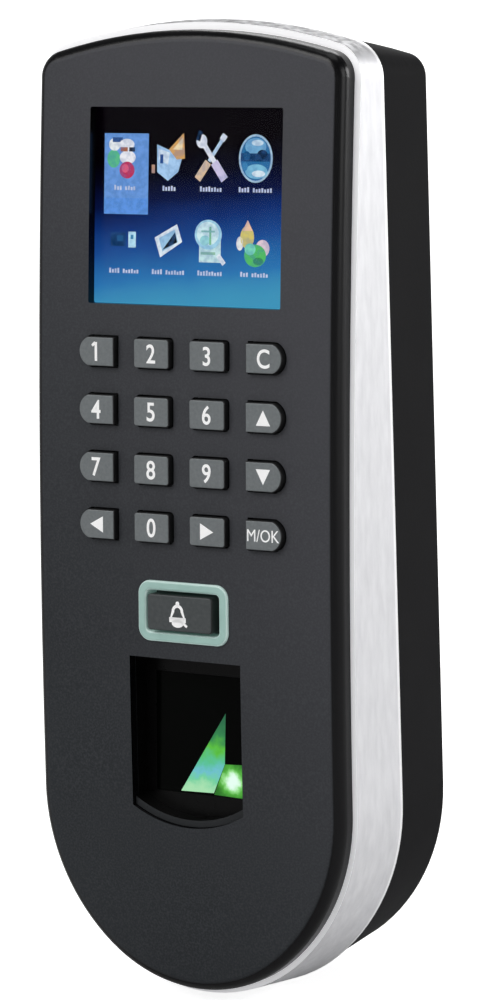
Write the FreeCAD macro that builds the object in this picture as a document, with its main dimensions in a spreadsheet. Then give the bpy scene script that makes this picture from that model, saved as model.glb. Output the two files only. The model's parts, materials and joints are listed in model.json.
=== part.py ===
import FreeCAD, Part
import math
import os
import re
import Sketcher

# A wall-mounted fingerprint terminal. Two frames are used. The wall frame has its origin at the
# centre of the wall plate's screw holes, on the plate's back: X across, Y into the wall, Z up.
# The front frame leans back by the tilt angle, so the terminal is thinner at the top; its X axis
# is the same, and its Y axis is the direction in which the keys are pressed.

Vector = FreeCAD.Vector

SIZES = {
    # outline of the terminal, seen from the front
    "half_width": (36.0, "half of the width, across the metal frame"),
    "half_height": (93.5, "half of the height"),
    "crown_radius": (117.5, "arc along the top edge"),
    "corner_radius": (7.2, "arc at the two top corners"),
    "flank_extra": (5.3, "how much larger than the half width the lower flank arcs are"),
    "chin_less": (3.0, "how much smaller than the half width the chin arc is"),
    "belly_rise": (2.8, "how far the face bows out between its ends, seen from the side"),
    "tilt_angle": (2.9, "lean of the front against the wall, in degrees"),
    "front_distance": (35.3, "wall to the ends of the face, at mid height"),
    # front cover
    "cover_inset": (2.1, "step in from the metal frame's largest outline"),
    "cover_depth": (4.4, "depth of the cover's edge"),
    "cover_wall": (2.2, "side wall"),
    "face_wall": (2.0, "front wall"),
    "edge_radius": (2.4, "rounding of the front edge"),
    # metal frame between the two covers
    "frame_taper": (1.5, "how much the frame narrows to the front"),
    "frame_wall": (4.2, "outline to the inner face"),
    # rear cover
    "rear_depth": (20.5, "wall to the metal frame"),
    "rear_step": (0.4, "step in behind the metal frame"),
    "rear_taper": (2.7, "inset of the outline at the wall"),
    "rear_wall": (2.2, "side wall"),
    "rear_floor": (6.0, "thickness of the back, over the plate recess"),
    "well_floor": (2.2, "thickness of the back behind the speaker"),
    # fixings between the covers
    "post_side": (9.0, "post to the side of the outline"),
    "post_crown": (12.5, "upper posts, below the top of the outline"),
    "post_chin": (9.04, "lower posts, in from the arc of the chin"),
    "post_chin_turn": (23.36, "lower posts, below the ends of the chin's arc, in degrees"),
    "post_radius": (2.8, "outer radius of a post in the front cover"),
    "rear_post_radius": (3.35, "outer radius of a post in the rear cover"),
    "screw_radius": (1.25, "M2.5 screw"),
    "screw_clearance": (0.2, "radial clearance round a screw"),
    "head_radius": (2.2, "head of an M2.5 screw"),
    "head_height": (1.6, "head of an M2.5 screw"),
    "screw_bite": (7.0, "depth of the screw in a front post"),
    "pilot_radius": (1.3, "hole for the thread in a front post"),
    "socket_depth": (0.6, "a screw's hexagon socket, share of the head's height"),
    "socket_reach": (0.5, "a screw's hexagon socket, share of the head's radius"),
    # display
    "screen_centre": (58.45, "height of the screen's centre"),
    "screen_across": (42.8, "opening in the cover"),
    "screen_tall": (37.1, "opening in the cover"),
    "screen_corner": (0.4, "corner radius of the opening"),
    "lens_margin": (1.5, "lens beyond the opening, each side"),
    "lens_thick": (0.5, "clear window"),
    "lens_gap": (0.16, "glue line between the cover and the flat lens"),
    "lens_air": (0.25, "between the lens and the panel"),
    "panel_thick": (1.3, "liquid crystal panel"),
    "backlight_thick": (1.8, "backlight"),
    "tray_wall": (0.5, "pressed tray round the display"),
    "layer_gap": (0.05, "between flat layers"),
    # keys
    "key_across": (7.85, "cap width"),
    "key_tall": (5.6, "cap height"),
    "key_bow": (2.0, "how far the outer columns' caps bow out at the side"),
    "key_corner": (0.6, "corner radius of a cap"),
    "key_edge": (0.35, "rounding of a cap's top edge"),
    "key_proud": (1.37, "cap above the face"),
    "key_gap": (0.3, "gap round a cap"),
    "key_travel": (0.8, "stroke of a key"),
    "pitch_across": (12.44, "column to column"),
    "pitch_down": (10.975, "row to row"),
    "grid_centre": (14.4, "height of the middle of the key grid"),
    "flange_margin": (0.8, "retaining flange beyond the cap"),
    "flange_thick": (0.9, "retaining flange"),
    "flange_gap": (0.15, "flange to the cover's inner face"),
    # bell button and its light ring
    "bell_centre": (-18.0, "height of the bell button"),
    "ring_across": (20.0, "ring outside"),
    "ring_tall": (11.6, "ring outside"),
    "ring_corner": (2.6, "ring corner radius outside"),
    "ring_band": (1.85, "width of the ring's band"),
    "ring_proud": (0.6, "ring above the face"),
    "ring_edge": (0.5, "rounding of the ring's front edges"),
    "ring_gap": (0.05, "ring to the cover"),
    "ring_flange": (1.0, "flange of the ring behind the cover"),
    "button_across": (14.4, "button"),
    "button_tall": (6.9, "button"),
    "button_corner": (0.7, "corner radius of the button"),
    "button_proud": (1.6, "button above the face"),
    # keypad mat and board
    "mat_front": (2.7, "front of the mat's sheet, in the front frame"),
    "mat_thick": (1.0, "silicone sheet"),
    "dome_radius": (2.2, "dome under each key"),
    "dome_room": (0.4, "between a pressed key and its dome, at the middle of the grid"),
    "mat_side": (4.64, "mat beyond the middle of the outer keys"),
    "pad_rise": (1.3375, "keypad board above the upper row's caps"),
    "pad_drop": (1.4, "keypad board below the light ring"),
    "pad_side_share": (0.3125, "board's side, share of the way from its holes to the side wall"),
    "pad_board_thick": (1.3, "keypad board"),
    "pad_post_in": (2.6, "keypad posts, in from the board's upper and lower edges"),
    "pad_post_gap": (0.415, "keypad posts to the outer keys' flanges"),
    "pad_post_radius": (2.0, "keypad posts"),
    "small_screw_radius": (0.9, "M1.8 screw"),
    "small_head_radius": (1.6, "head of an M1.8 screw"),
    "small_head_height": (1.1, "head of an M1.8 screw"),
    "small_screw_bite": (3.0, "depth of an M1.8 screw in plastic"),
    "ring_led_across": (1.6, "lamp under the light ring"),
    "ring_led_deep": (0.75, "lamp under the light ring"),
    "ring_led_tall": (2.4, "lamp under the light ring"),
    # finger window and sensor
    "window_half_width": (12.45, "half width of the finger window"),
    "window_top": (-27.1, "upper edge of the finger window"),
    "window_bottom": (-59.5, "lowest point of the finger window"),
    "window_radius": (24.5, "arc along the window's lower edge"),
    "hood_wall": (1.2, "wall of the sensor hood"),
    "hood_floor": (3.0, "finger rest, in the front frame"),
    "hood_gap": (0.1, "hood to the cover"),
    "lip_width": (1.4, "finger lip along the lower edge"),
    "lip_depth": (1.0, "finger lip below the face"),
    "prism_half_width": (10.0, "half width of the glass prism"),
    "prism_top": (-30.5, "upper edge of the prism's face"),
    "prism_bottom": (-53.7, "lower edge of the prism's face"),
    "prism_shank": (1.6, "straight edge of the prism before it narrows"),
    "prism_depth": (10.0, "depth of the prism"),
    "prism_gap": (0.05, "prism to its seat"),
    "box_wall": (1.3, "wall of the sensor housing"),
    "box_depth": (15.0, "depth of the sensor housing"),
    "box_margin": (1.2, "inside of the sensor housing beyond the prism, each side"),
    "ear_width": (7.0, "screw ears of the sensor housing"),
    "ear_gap": (0.35, "posts of the ears to the sensor hood"),
    "ear_thick": (2.0, "screw ears of the sensor housing"),
    "camera_board_thick": (1.2, "sensor board"),
    "camera_lens_radius": (3.4, "lens barrel of the sensor"),
    "camera_lens_length": (4.5, "lens barrel of the sensor"),
    "lamp_side": (1.6, "lamp of the sensor, across and deep"),
    "lamp_tall": (0.8, "lamp of the sensor"),
    "lamp_drop": (0.2, "lamp below the prism"),
    # main board, in the wall frame
    "board_front": (18.6, "wall to the front of the main board"),
    "board_thick": (1.6, "main board"),
    "board_half_width": (27.5, "half width of the main board"),
    "board_top": (74.0, "upper edge of the main board"),
    "board_bottom": (-24.0, "lower edge of the main board"),
    "board_post_in": (3.2, "board posts, in from the board's edges"),
    "board_post_radius": (2.4, "board posts"),
    "bay_half_width": (20.0, "wiring bay in the rear cover"),
    "bay_top": (32.0, "wiring bay in the rear cover"),
    "bay_bottom": (-18.0, "wiring bay in the rear cover"),
    "bay_corner": (2.0, "corner radius of the wiring bay"),
    "processor_side": (14.0, "processor"),
    "processor_height": (8.0, "centre of the processor"),
    "memory_across": (11.0, "memory chip"),
    "memory_tall": (8.0, "memory chip"),
    "memory_offset": (9.0, "memory chips, off the centre line"),
    "memory_height": (28.0, "centre of the memory chips"),
    "network_side": (9.0, "network chip"),
    "network_offset": (-14.0, "centre of the network chip"),
    "network_height": (-10.0, "centre of the network chip"),
    "chip_thick": (1.2, "chip package"),
    "relay_across": (15.5, "relay"),
    "relay_deep": (10.5, "relay"),
    "relay_tall": (4.4, "relay"),
    "relay_offset": (13.5, "centre of the relay"),
    "relay_low": (-22.8, "lower face of the relay"),
    "cell_radius": (6.25, "coin cell"),
    "cell_thick": (2.5, "coin cell"),
    "cell_floor": (1.2, "floor of the coin cell's holder"),
    "cell_rim": (1.1, "rim of the coin cell's holder"),
    "cell_offset": (-12.0, "centre of the coin cell"),
    "cell_height": (54.0, "centre of the coin cell"),
    "cell_gap": (0.1, "coin cell to its holder"),
    "jack_across": (15.9, "network jack"),
    "jack_tall": (15.6, "network jack"),
    "jack_depth": (13.3, "network jack"),
    "jack_wall": (1.5, "wall of the network jack"),
    "jack_offset": (-10.0, "centre of the network jack"),
    "jack_bottom": (15.0, "mouth of the network jack"),
    "header_across": (14.0, "wiring header"),
    "header_tall": (6.0, "wiring header"),
    "header_depth": (7.0, "wiring header"),
    "header_wall": (0.8, "wall of a wiring header"),
    "header_offset": (9.0, "centre of the wiring headers"),
    "header_first": (24.0, "height of the first wiring header"),
    "header_pitch": (9.5, "wiring header to the next"),
    # wall plate and how the terminal hangs on it
    "plate_thick": (1.5, "steel sheet"),
    "plate_half_width": (26.0, "half width of the plate"),
    "plate_half_height": (56.0, "half height of the plate"),
    "plate_corner": (3.0, "corner radius of the plate"),
    "recess_depth": (2.0, "plate recess in the rear cover"),
    "recess_gap": (0.8, "recess beyond the plate, all round"),
    "hole_across": (36.0, "wall screw to wall screw, across"),
    "hole_up": (90.0, "wall screw to wall screw, up"),
    "hole_radius": (2.25, "wall screw hole"),
    "head_room": (4.7, "radius of the relief over a wall screw's head"),
    "relief_depth": (2.4, "depth of that relief"),
    "cable_half_width": (16.0, "cable opening in the plate"),
    "cable_top": (28.0, "cable opening in the plate"),
    "cable_bottom": (-16.0, "cable opening in the plate"),
    "hook_offset": (17.0, "centre of a hook"),
    "hook_across": (9.0, "width of a hook"),
    "hook_rise": (4.0, "hook above its tab"),
    "hook_gap": (0.25, "hook to the rear cover"),
    "tongue_half_width": (8.0, "tongue down to the locking screw"),
    "tongue_rise": (9.5, "end of the tongue, above the terminal's bottom edge"),
    "tongue_reach": (9.5, "flange at the tongue's end"),
    "lock_depth": (7.0, "wall to the locking screw's axis"),
    "lock_radius": (1.5, "M3 locking screw"),
    "lock_head_radius": (2.75, "head of the locking screw"),
    "lock_head_height": (2.0, "head of the locking screw"),
    "lock_block_half": (5.0, "half width of the block round the locking screw"),
    "block_rise": (4.9, "upper face of that block, above the bottom edge"),
    "lock_seat_rise": (2.7, "seat of the locking screw's head, above the bottom edge"),
    # speaker and tamper switch
    "speaker_centre": (72.5, "height of the speaker"),
    "speaker_radius": (9.0, "speaker"),
    "speaker_depth": (4.2, "speaker"),
    "speaker_gap": (0.2, "speaker to its well"),
    "magnet_radius": (5.4, "magnet on the speaker"),
    "magnet_depth": (2.0, "magnet on the speaker"),
    "grille_radius": (0.6, "hole of the speaker grille"),
    "grille_pitch": (2.6, "ring to ring in the speaker grille"),
    "tamper_centre": (42.0, "height of the tamper switch"),
    "tamper_radius": (1.7, "tamper plunger"),
    "tamper_gap": (0.3, "tamper plunger to its hole"),
    "tamper_travel": (1.0, "stroke of the tamper plunger"),
    "tamper_side": (6.0, "tamper switch body"),
    "tamper_body": (3.5, "height of the tamper switch body"),
    # flat cables
    "ribbon_thick": (0.3, "flat cable"),
    "ribbon_room": (0.6, "flat cable to the display's tray or the main board"),
    "display_ribbon_across": (18.0, "flat cable of the display"),
    "display_ribbon_drop": (6.0, "its fold, below the screen's centre"),
    "display_ribbon_lap": (10.0, "how far it lies on the tray"),
    "display_ribbon_tail": (7.0, "how far it hangs beside the main board"),
    "keypad_ribbon_across": (12.0, "flat cable of the keypad"),
    "keypad_ribbon_rise": (9.0, "its fold, above the keypad board's lower edge"),
    "keypad_ribbon_lap": (8.0, "how far it lies on the keypad board"),
    "keypad_ribbon_tail": (5.0, "how far it stands beside the main board"),
}

document = FreeCAD.newDocument("FingerprintTerminal")
sheet = document.addObject("Spreadsheet::Sheet", "Sizes")
for row, (alias, (size, note)) in enumerate(SIZES.items(), start=1):
    sheet.set(f"A{row}", note)
    sheet.set(f"B{row}", str(size))
    sheet.setAlias(f"B{row}", alias)
document.recompute()

# Expressions that several pieces share, in the sheet's words.
BELLY_RADIUS = "((half_height^2 + belly_rise^2) / (2 * belly_rise))"
CROWN_CENTRE = "(half_height - crown_radius)"
CHIN_RADIUS = "(half_width - chin_less)"
CHIN_CENTRE = f"({CHIN_RADIUS} - half_height)"
FLANK_RADIUS = "(half_width + flank_extra)"
MATING_DISTANCE = "((front_distance - rear_depth) / cos(tilt_angle))"
TONGUE_END = "(tongue_rise - half_height)"
BLOCK_TOP = "(block_rise - half_height)"
LOCK_SEAT = "(lock_seat_rise - half_height)"
LOCK_TIP = f"({TONGUE_END} + 2 * plate_thick)"
CLEAR_OF_ALL = "(half_height * 3)"
IN_FRONT = "(-3 * cover_depth)"


def sized(text):
    """A word with an underscore is a cell of the sheet."""
    return re.sub(r"[a-z]+(?:_[a-z]+)+", lambda word: "Sizes." + word.group(), text)


def number(text):
    """What an expression gives with the sheet as it stands."""
    found = sheet.evalExpression(text)
    return float(getattr(found, "Value", found))


def face_at(height):
    """Where the bowed face lies in the front frame at a height."""
    return f"({BELLY_RADIUS} - belly_rise - sqrt({BELLY_RADIUS}^2 - ({height})^2))"


def mating_at(height):
    """Where the plane between metal frame and rear cover lies in the front frame."""
    return f"({MATING_DISTANCE} - ({height}) * tan(tilt_angle))"


def drift_at(distance):
    """How far the outline has sunk in the wall frame at a distance from the wall."""
    return f"(-(front_distance - ({distance})) * tan(tilt_angle))"


# ---------------------------------------------------------------- placing

def bind(item, name, text):
    item.setExpression(name, sized(text))


def place(item, x="0", y="0", z="0"):
    """Puts an item in the wall frame."""
    turn = item.Placement.Rotation
    item.Placement = FreeCAD.Placement(Vector(number(x), number(y), number(z)), turn)
    for axis, text in zip("xyz", (x, y, z)):
        bind(item, f"Placement.Base.{axis}", text)


def place_on_front(item, x="0", y="0", z="0", slope="0"):
    """Puts an item in the front frame, leaned back a little more by slope if it has one."""
    lean = f"(tilt_angle + {slope})"
    item.Placement.Rotation = FreeCAD.Rotation(Vector(-1, 0, 0), number(lean))
    depth = f"-front_distance + ({y}) * cos(tilt_angle) + ({z}) * sin(tilt_angle)"
    height = f"({z}) * cos(tilt_angle) - ({y}) * sin(tilt_angle)"
    place(item, x, depth, height)
    bind(item, "Placement.Rotation.Angle", lean)


# ---------------------------------------------------------------- bodies and their features

def new_body(label):
    body = document.addObject("PartDesign::Body", label)
    body.Label = label
    return body


def sketch_on(body, name, plane="XZ_Plane", forward="0", up="0", lean="0"):
    """A sketch on an origin plane, moved along its normal and turned about X."""
    sketch = body.newObject("Sketcher::SketchObject", f"{body.Label}_{name}")
    support = [item for item in body.Origin.OriginFeatures if item.Role == plane][0]
    sketch.AttachmentSupport = [(support, "")]
    sketch.MapMode = "FlatFace"
    turn = FreeCAD.Rotation(Vector(1, 0, 0), number(lean))
    sketch.AttachmentOffset = FreeCAD.Placement(Vector(0, number(up), number(forward)), turn)
    bind(sketch, "AttachmentOffset.Base.y", up)
    bind(sketch, "AttachmentOffset.Base.z", forward)
    bind(sketch, "AttachmentOffset.Rotation.Angle", lean)
    return sketch


def feature(body, kind, name, sketch, length=None, **settings):
    """A pad, pocket or revolution. Without a length a pocket goes through all."""
    made = body.newObject(f"PartDesign::{kind}", f"{body.Label}_{name}")
    made.Profile = sketch
    for key, setting in settings.items():
        setattr(made, key, setting)
    if length is None and kind == "Pocket":
        made.Type = "ThroughAll"
    elif length is not None:
        made.Length = number(length)
        bind(made, "Length", length)
    sketch.Visibility = False
    return made


def loft(body, kind, name, first, last):
    made = body.newObject(f"PartDesign::{kind}", f"{body.Label}_{name}")
    made.Profile = first
    made.Sections = [last]
    made.Ruled = True
    return made


def round_edges(body, name, base, radius, wanted):
    """Rounds those edges of a feature for which wanted(edge) is true."""
    document.recompute()
    edges = [f"Edge{k}" for k, edge in enumerate(base.Shape.Edges, start=1) if wanted(edge)]
    made = body.newObject("PartDesign::Fillet", f"{body.Label}_{name}")
    made.Base = (base, edges)
    made.Radius = number(radius)
    bind(made, "Radius", radius)
    return made


# ---------------------------------------------------------------- sketch shapes

def dimension(sketch, kind, name, text, *where):
    index = sketch.addConstraint(Sketcher.Constraint(kind, *where, number(text)))
    sketch.renameConstraint(index, name)
    bind(sketch, f"Constraints.{name}", text)


def add_loop(sketch, pieces, joint):
    """A closed chain of lines and arcs, each piece starting where the last one ends."""
    first = sketch.GeometryCount
    sketch.addGeometry(pieces, False)
    count = len(pieces)
    for k in range(count):
        link = (first + k, 2, first + (k + 1) % count, 1)
        sketch.addConstraint(Sketcher.Constraint(joint, *link))
    return first


def arc(centre, radius, start, end):
    circle = Part.Circle(Vector(centre[0], centre[1], 0), Vector(0, 0, 1), radius)
    return Part.ArcOfCircle(circle, math.radians(start), math.radians(end))


def line(start, end):
    return Part.LineSegment(Vector(start[0], start[1], 0), Vector(end[0], end[1], 0))


def draw_outline(sketch, inset):
    """The terminal's outline, offset inwards: crown, corners, sides, flanks and chin."""
    inward = number(inset)
    half = number("half_width") - inward
    crown = number("crown_radius")
    corner = number("corner_radius")
    flank = number(FLANK_RADIUS)
    chin = number(CHIN_RADIUS)
    crown_z = number(CROWN_CENTRE)
    chin_z = number(CHIN_CENTRE)
    corner_x = number("half_width") - corner
    corner_z = crown_z + math.sqrt((crown - corner) ** 2 - corner_x ** 2)
    flank_x = flank - number("half_width")
    flank_z = chin_z + math.sqrt((flank - chin) ** 2 - flank_x ** 2)
    top_turn = math.degrees(math.atan2(corner_z - crown_z, corner_x))
    low_turn = math.degrees(math.atan2(flank_z - chin_z, flank_x))
    pieces = [
        arc((0, crown_z), crown - inward, top_turn, 180 - top_turn),
        arc((-corner_x, corner_z), corner - inward, 180 - top_turn, 180),
        line((-half, corner_z), (-half, flank_z)),
        arc((flank_x, flank_z), flank - inward, 180, 180 + low_turn),
        arc((0, chin_z), chin - inward, 180 + low_turn, 360 - low_turn),
        arc((-flank_x, flank_z), flank - inward, 360 - low_turn, 360),
        line((half, flank_z), (half, corner_z)),
        arc((corner_x, corner_z), corner - inward, 0, top_turn),
    ]
    n = add_loop(sketch, pieces, "Tangent")
    tag = f"_{n}"
    sketch.addConstraint([
        Sketcher.Constraint("Vertical", n + 2),
        Sketcher.Constraint("Vertical", n + 6),
        Sketcher.Constraint("PointOnObject", n, 3, -2),
        Sketcher.Constraint("PointOnObject", n + 4, 3, -2),
        Sketcher.Constraint("Equal", n + 1, n + 7),
        Sketcher.Constraint("Equal", n + 3, n + 5),
    ])
    dimension(sketch, "DistanceX", "left" + tag, f"half_width - {inset}", n + 2, 1, -1, 1)
    dimension(sketch, "DistanceX", "right" + tag, f"half_width - {inset}", -1, 1, n + 6, 1)
    dimension(sketch, "Radius", "crown" + tag, f"crown_radius - {inset}", n)
    dimension(sketch, "Radius", "corner" + tag, f"corner_radius - {inset}", n + 1)
    dimension(sketch, "Radius", "flank" + tag, f"{FLANK_RADIUS} - {inset}", n + 3)
    dimension(sketch, "Radius", "chin" + tag, f"{CHIN_RADIUS} - {inset}", n + 4)
    dimension(sketch, "DistanceY", "crown_z" + tag, CROWN_CENTRE, -1, 1, n, 3)
    dimension(sketch, "DistanceY", "chin_z" + tag, CHIN_CENTRE, -1, 1, n + 4, 3)


def draw_rectangle(sketch, x, z, across, tall, corner=None):
    """A rectangle about a centre, with round corners if a radius is given."""
    middle_x, middle_z = number(x), number(z)
    half_x, half_z = number(across) / 2, number(tall) / 2
    left, right = middle_x - half_x, middle_x + half_x
    low, high = middle_z - half_z, middle_z + half_z
    if corner is None:
        pieces = [
            line((left, low), (right, low)),
            line((right, low), (right, high)),
            line((right, high), (left, high)),
            line((left, high), (left, low)),
        ]
        n = add_loop(sketch, pieces, "Coincident")
        sides = (n, n + 1, n + 2, n + 3)
    else:
        r = number(corner)
        pieces = [
            line((left + r, low), (right - r, low)),
            arc((right - r, low + r), r, 270, 360),
            line((right, low + r), (right, high - r)),
            arc((right - r, high - r), r, 0, 90),
            line((right - r, high), (left + r, high)),
            arc((left + r, high - r), r, 90, 180),
            line((left, high - r), (left, low + r)),
            arc((left + r, low + r), r, 180, 270),
        ]
        n = add_loop(sketch, pieces, "Tangent")
        sides = (n, n + 2, n + 4, n + 6)
        for k in (3, 5, 7):
            sketch.addConstraint(Sketcher.Constraint("Equal", n + 1, n + k))
        dimension(sketch, "Radius", f"corner_{n}", corner, n + 1)
    bottom_side, right_side, top_side, left_side = sides
    sketch.addConstraint([
        Sketcher.Constraint("Horizontal", bottom_side),
        Sketcher.Constraint("Vertical", right_side),
        Sketcher.Constraint("Horizontal", top_side),
        Sketcher.Constraint("Vertical", left_side),
    ])
    dimension(sketch, "DistanceX", f"x_{n}", f"{x} - ({across}) / 2", -1, 1, left_side, 1)
    dimension(sketch, "DistanceY", f"z_{n}", f"{z} - ({tall}) / 2", -1, 1, bottom_side, 1)
    dimension(sketch, "DistanceX", f"across_{n}", across, left_side, 1, right_side, 1)
    dimension(sketch, "DistanceY", f"tall_{n}", tall, bottom_side, 1, top_side, 1)


def draw_circle(sketch, x, z, radius):
    centre = Vector(number(x), number(z), 0)
    n = sketch.addGeometry(Part.Circle(centre, Vector(0, 0, 1), number(radius)), False)
    dimension(sketch, "Radius", f"radius_{n}", radius, n)
    dimension(sketch, "DistanceX", f"x_{n}", x, -1, 1, n, 3)
    dimension(sketch, "DistanceY", f"z_{n}", z, -1, 1, n, 3)


def draw_cap(sketch, x, z, column, grow):
    """A key's outline. The outer columns bow out at the side, as an arc."""
    across = f"(key_across + 2 * {grow})"
    tall = f"(key_tall + 2 * {grow})"
    if column in (1, 2):
        draw_rectangle(sketch, x, z, across, tall, f"(key_corner + {grow})")
        return
    side = 1 if column == 3 else -1
    bow = "(((key_tall / 2)^2 + key_bow^2) / (2 * key_bow))"
    radius = f"({bow} + {grow})"
    centre = f"({x} + {side} * (key_across / 2 - {bow}))"
    flat = f"({x} - {side} * {across} / 2)"
    half = number(tall) / 2
    turn = math.degrees(math.asin(half / number(radius)))
    reach = number(centre) + side * math.sqrt(number(radius) ** 2 - half ** 2)
    low, high = number(z) - half, number(z) + half
    middle = (number(centre), number(z))
    if side == 1:
        pieces = [
            line((number(flat), low), (reach, low)),
            arc(middle, number(radius), -turn, turn),
            line((reach, high), (number(flat), high)),
            line((number(flat), high), (number(flat), low)),
        ]
        bent, upright = 1, 3
    else:
        pieces = [
            line((reach, low), (number(flat), low)),
            line((number(flat), low), (number(flat), high)),
            line((number(flat), high), (reach, high)),
            arc(middle, number(radius), 180 - turn, 180 + turn),
        ]
        bent, upright = 3, 1
    n = add_loop(sketch, pieces, "Coincident")
    sketch.addConstraint([
        Sketcher.Constraint("Horizontal", n),
        Sketcher.Constraint("Horizontal", n + 2),
        Sketcher.Constraint("Vertical", n + upright),
    ])
    dimension(sketch, "Radius", f"bow_{n}", radius, n + bent)
    dimension(sketch, "DistanceX", f"x_{n}", centre, -1, 1, n + bent, 3)
    dimension(sketch, "DistanceY", f"z_{n}", z, -1, 1, n + bent, 3)
    dimension(sketch, "DistanceX", f"flat_{n}", flat, -1, 1, n + upright, 1)
    dimension(sketch, "DistanceY", f"low_{n}", f"{z} - {tall} / 2", -1, 1, n, 1)
    dimension(sketch, "DistanceY", f"tall_{n}", tall, n, 1, n + 2, 1)


def draw_window(sketch, grow, lift="0"):
    """The finger window's outline: straight top and sides, and an arc below."""
    half = f"(window_half_width + {grow})"
    top = f"(window_top + {grow})"
    radius = f"(window_radius + {grow} - {lift})"
    centre = "(window_bottom + window_radius)"
    turn = math.degrees(math.acos(number(half) / number(radius)))
    corner_z = number(centre) - math.sqrt(number(radius) ** 2 - number(half) ** 2)
    across, high = number(half), number(top)
    pieces = [
        line((across, high), (-across, high)),
        line((-across, high), (-across, corner_z)),
        arc((0, number(centre)), number(radius), 180 + turn, 360 - turn),
        line((across, corner_z), (across, high)),
    ]
    n = add_loop(sketch, pieces, "Coincident")
    sketch.addConstraint([
        Sketcher.Constraint("Horizontal", n),
        Sketcher.Constraint("Vertical", n + 1),
        Sketcher.Constraint("Vertical", n + 3),
        Sketcher.Constraint("PointOnObject", n + 2, 3, -2),
    ])
    dimension(sketch, "DistanceX", f"left_{n}", half, n + 1, 1, -1, 1)
    dimension(sketch, "DistanceX", f"right_{n}", half, -1, 1, n + 3, 1)
    dimension(sketch, "DistanceY", f"top_{n}", top, -1, 1, n, 1)
    dimension(sketch, "DistanceY", f"centre_{n}", centre, -1, 1, n + 2, 3)
    dimension(sketch, "Radius", f"radius_{n}", radius, n + 2)


def draw_belly(sketch, depth, reach):
    """Seen from the side: what lies between the face, moved in by a depth, and a plane at reach."""
    radius = f"({BELLY_RADIUS} - {depth})"
    centre = f"({BELLY_RADIUS} - belly_rise)"
    half = "(half_height + belly_rise)"
    turn = math.degrees(math.asin(number(half) / number(radius)))
    high, edge = number(half), number(reach)
    near = number(centre) - math.sqrt(number(radius) ** 2 - high ** 2)
    pieces = [
        arc((number(centre), 0), number(radius), 180 - turn, 180 + turn),
        line((near, -high), (edge, -high)),
        line((edge, -high), (edge, high)),
        line((edge, high), (near, high)),
    ]
    n = add_loop(sketch, pieces, "Coincident")
    sketch.addConstraint([
        Sketcher.Constraint("Horizontal", n + 1),
        Sketcher.Constraint("Vertical", n + 2),
        Sketcher.Constraint("Horizontal", n + 3),
        Sketcher.Constraint("PointOnObject", n, 3, -1),
    ])
    dimension(sketch, "Radius", f"radius_{n}", radius, n)
    dimension(sketch, "DistanceX", f"centre_{n}", centre, -1, 1, n, 3)
    dimension(sketch, "DistanceX", f"reach_{n}", reach, -1, 1, n + 2, 1)
    dimension(sketch, "DistanceY", f"low_{n}", half, n + 1, 1, -1, 1)
    dimension(sketch, "DistanceY", f"high_{n}", half, -1, 1, n + 3, 1)


def trim_to_belly(body, name, depth, reach):
    """Cuts away all that lies between the moved face and a plane at reach."""
    sketch = sketch_on(body, f"{name}_sketch", "YZ_Plane", forward=CLEAR_OF_ALL)
    draw_belly(sketch, depth, reach)
    return feature(body, "Pocket", name, sketch)


# ---------------------------------------------------------------- plain solids

def box(name, x, y, z, across, deep, tall):
    """A block from its left, front, lower corner."""
    made = document.addObject("Part::Box", name)
    for key, text in (("Length", across), ("Width", deep), ("Height", tall)):
        setattr(made, key, number(text))
        bind(made, key, text)
    place(made, x, y, z)
    return made


def rod(name, x, y, z, radius, length, axis="Y"):
    """A cylinder that starts at a point and runs along Y, or up along Z."""
    made = document.addObject("Part::Cylinder", name)
    made.Radius = number(radius)
    made.Height = number(length)
    bind(made, "Radius", radius)
    bind(made, "Height", length)
    if axis == "Y":
        made.Placement.Rotation = FreeCAD.Rotation(Vector(1, 0, 0), -90)
    place(made, x, y, z)
    return made


def fuse(name, *items):
    made = document.addObject("Part::MultiFuse", name)
    made.Shapes = list(items)
    return made


def cut(name, base, tool):
    made = document.addObject("Part::Cut", name)
    made.Base = base
    made.Tool = tool
    return made


def group(label, *items):
    made = document.addObject("Part::Compound", label)
    made.Links = list(items)
    return made


def screw(name, x, y, z, head, head_tall, shank, length, points="front"):
    """A socket-head screw along Y. Its head rests at y, and the shank points to the front or back."""
    ahead = points == "front"
    head_start = y if ahead else f"({y} - {head_tall})"
    shank_start = f"({y} - {length})" if ahead else y
    socket_start = f"({y} + {head_tall} * (1 - socket_depth))" if ahead else head_start
    top = rod(f"{name}_head", x, head_start, z, head, head_tall)
    stem = rod(f"{name}_shank", x, shank_start, z, shank, length)
    socket = document.addObject("Part::Prism", f"{name}_socket")
    socket.Polygon = 6
    bind(socket, "Circumradius", f"{head} * socket_reach")
    bind(socket, "Height", f"{head_tall} * socket_depth")
    socket.Placement.Rotation = FreeCAD.Rotation(Vector(1, 0, 0), -90)
    place(socket, x, socket_start, z)
    return cut(name, fuse(f"{name}_solid", top, stem), socket)


nodes = []


def keep(item, label):
    """Names a finished sub-part."""
    item.Label = label
    nodes.append(item)
    return item


# ---------------------------------------------------------------- where repeated features are

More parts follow.
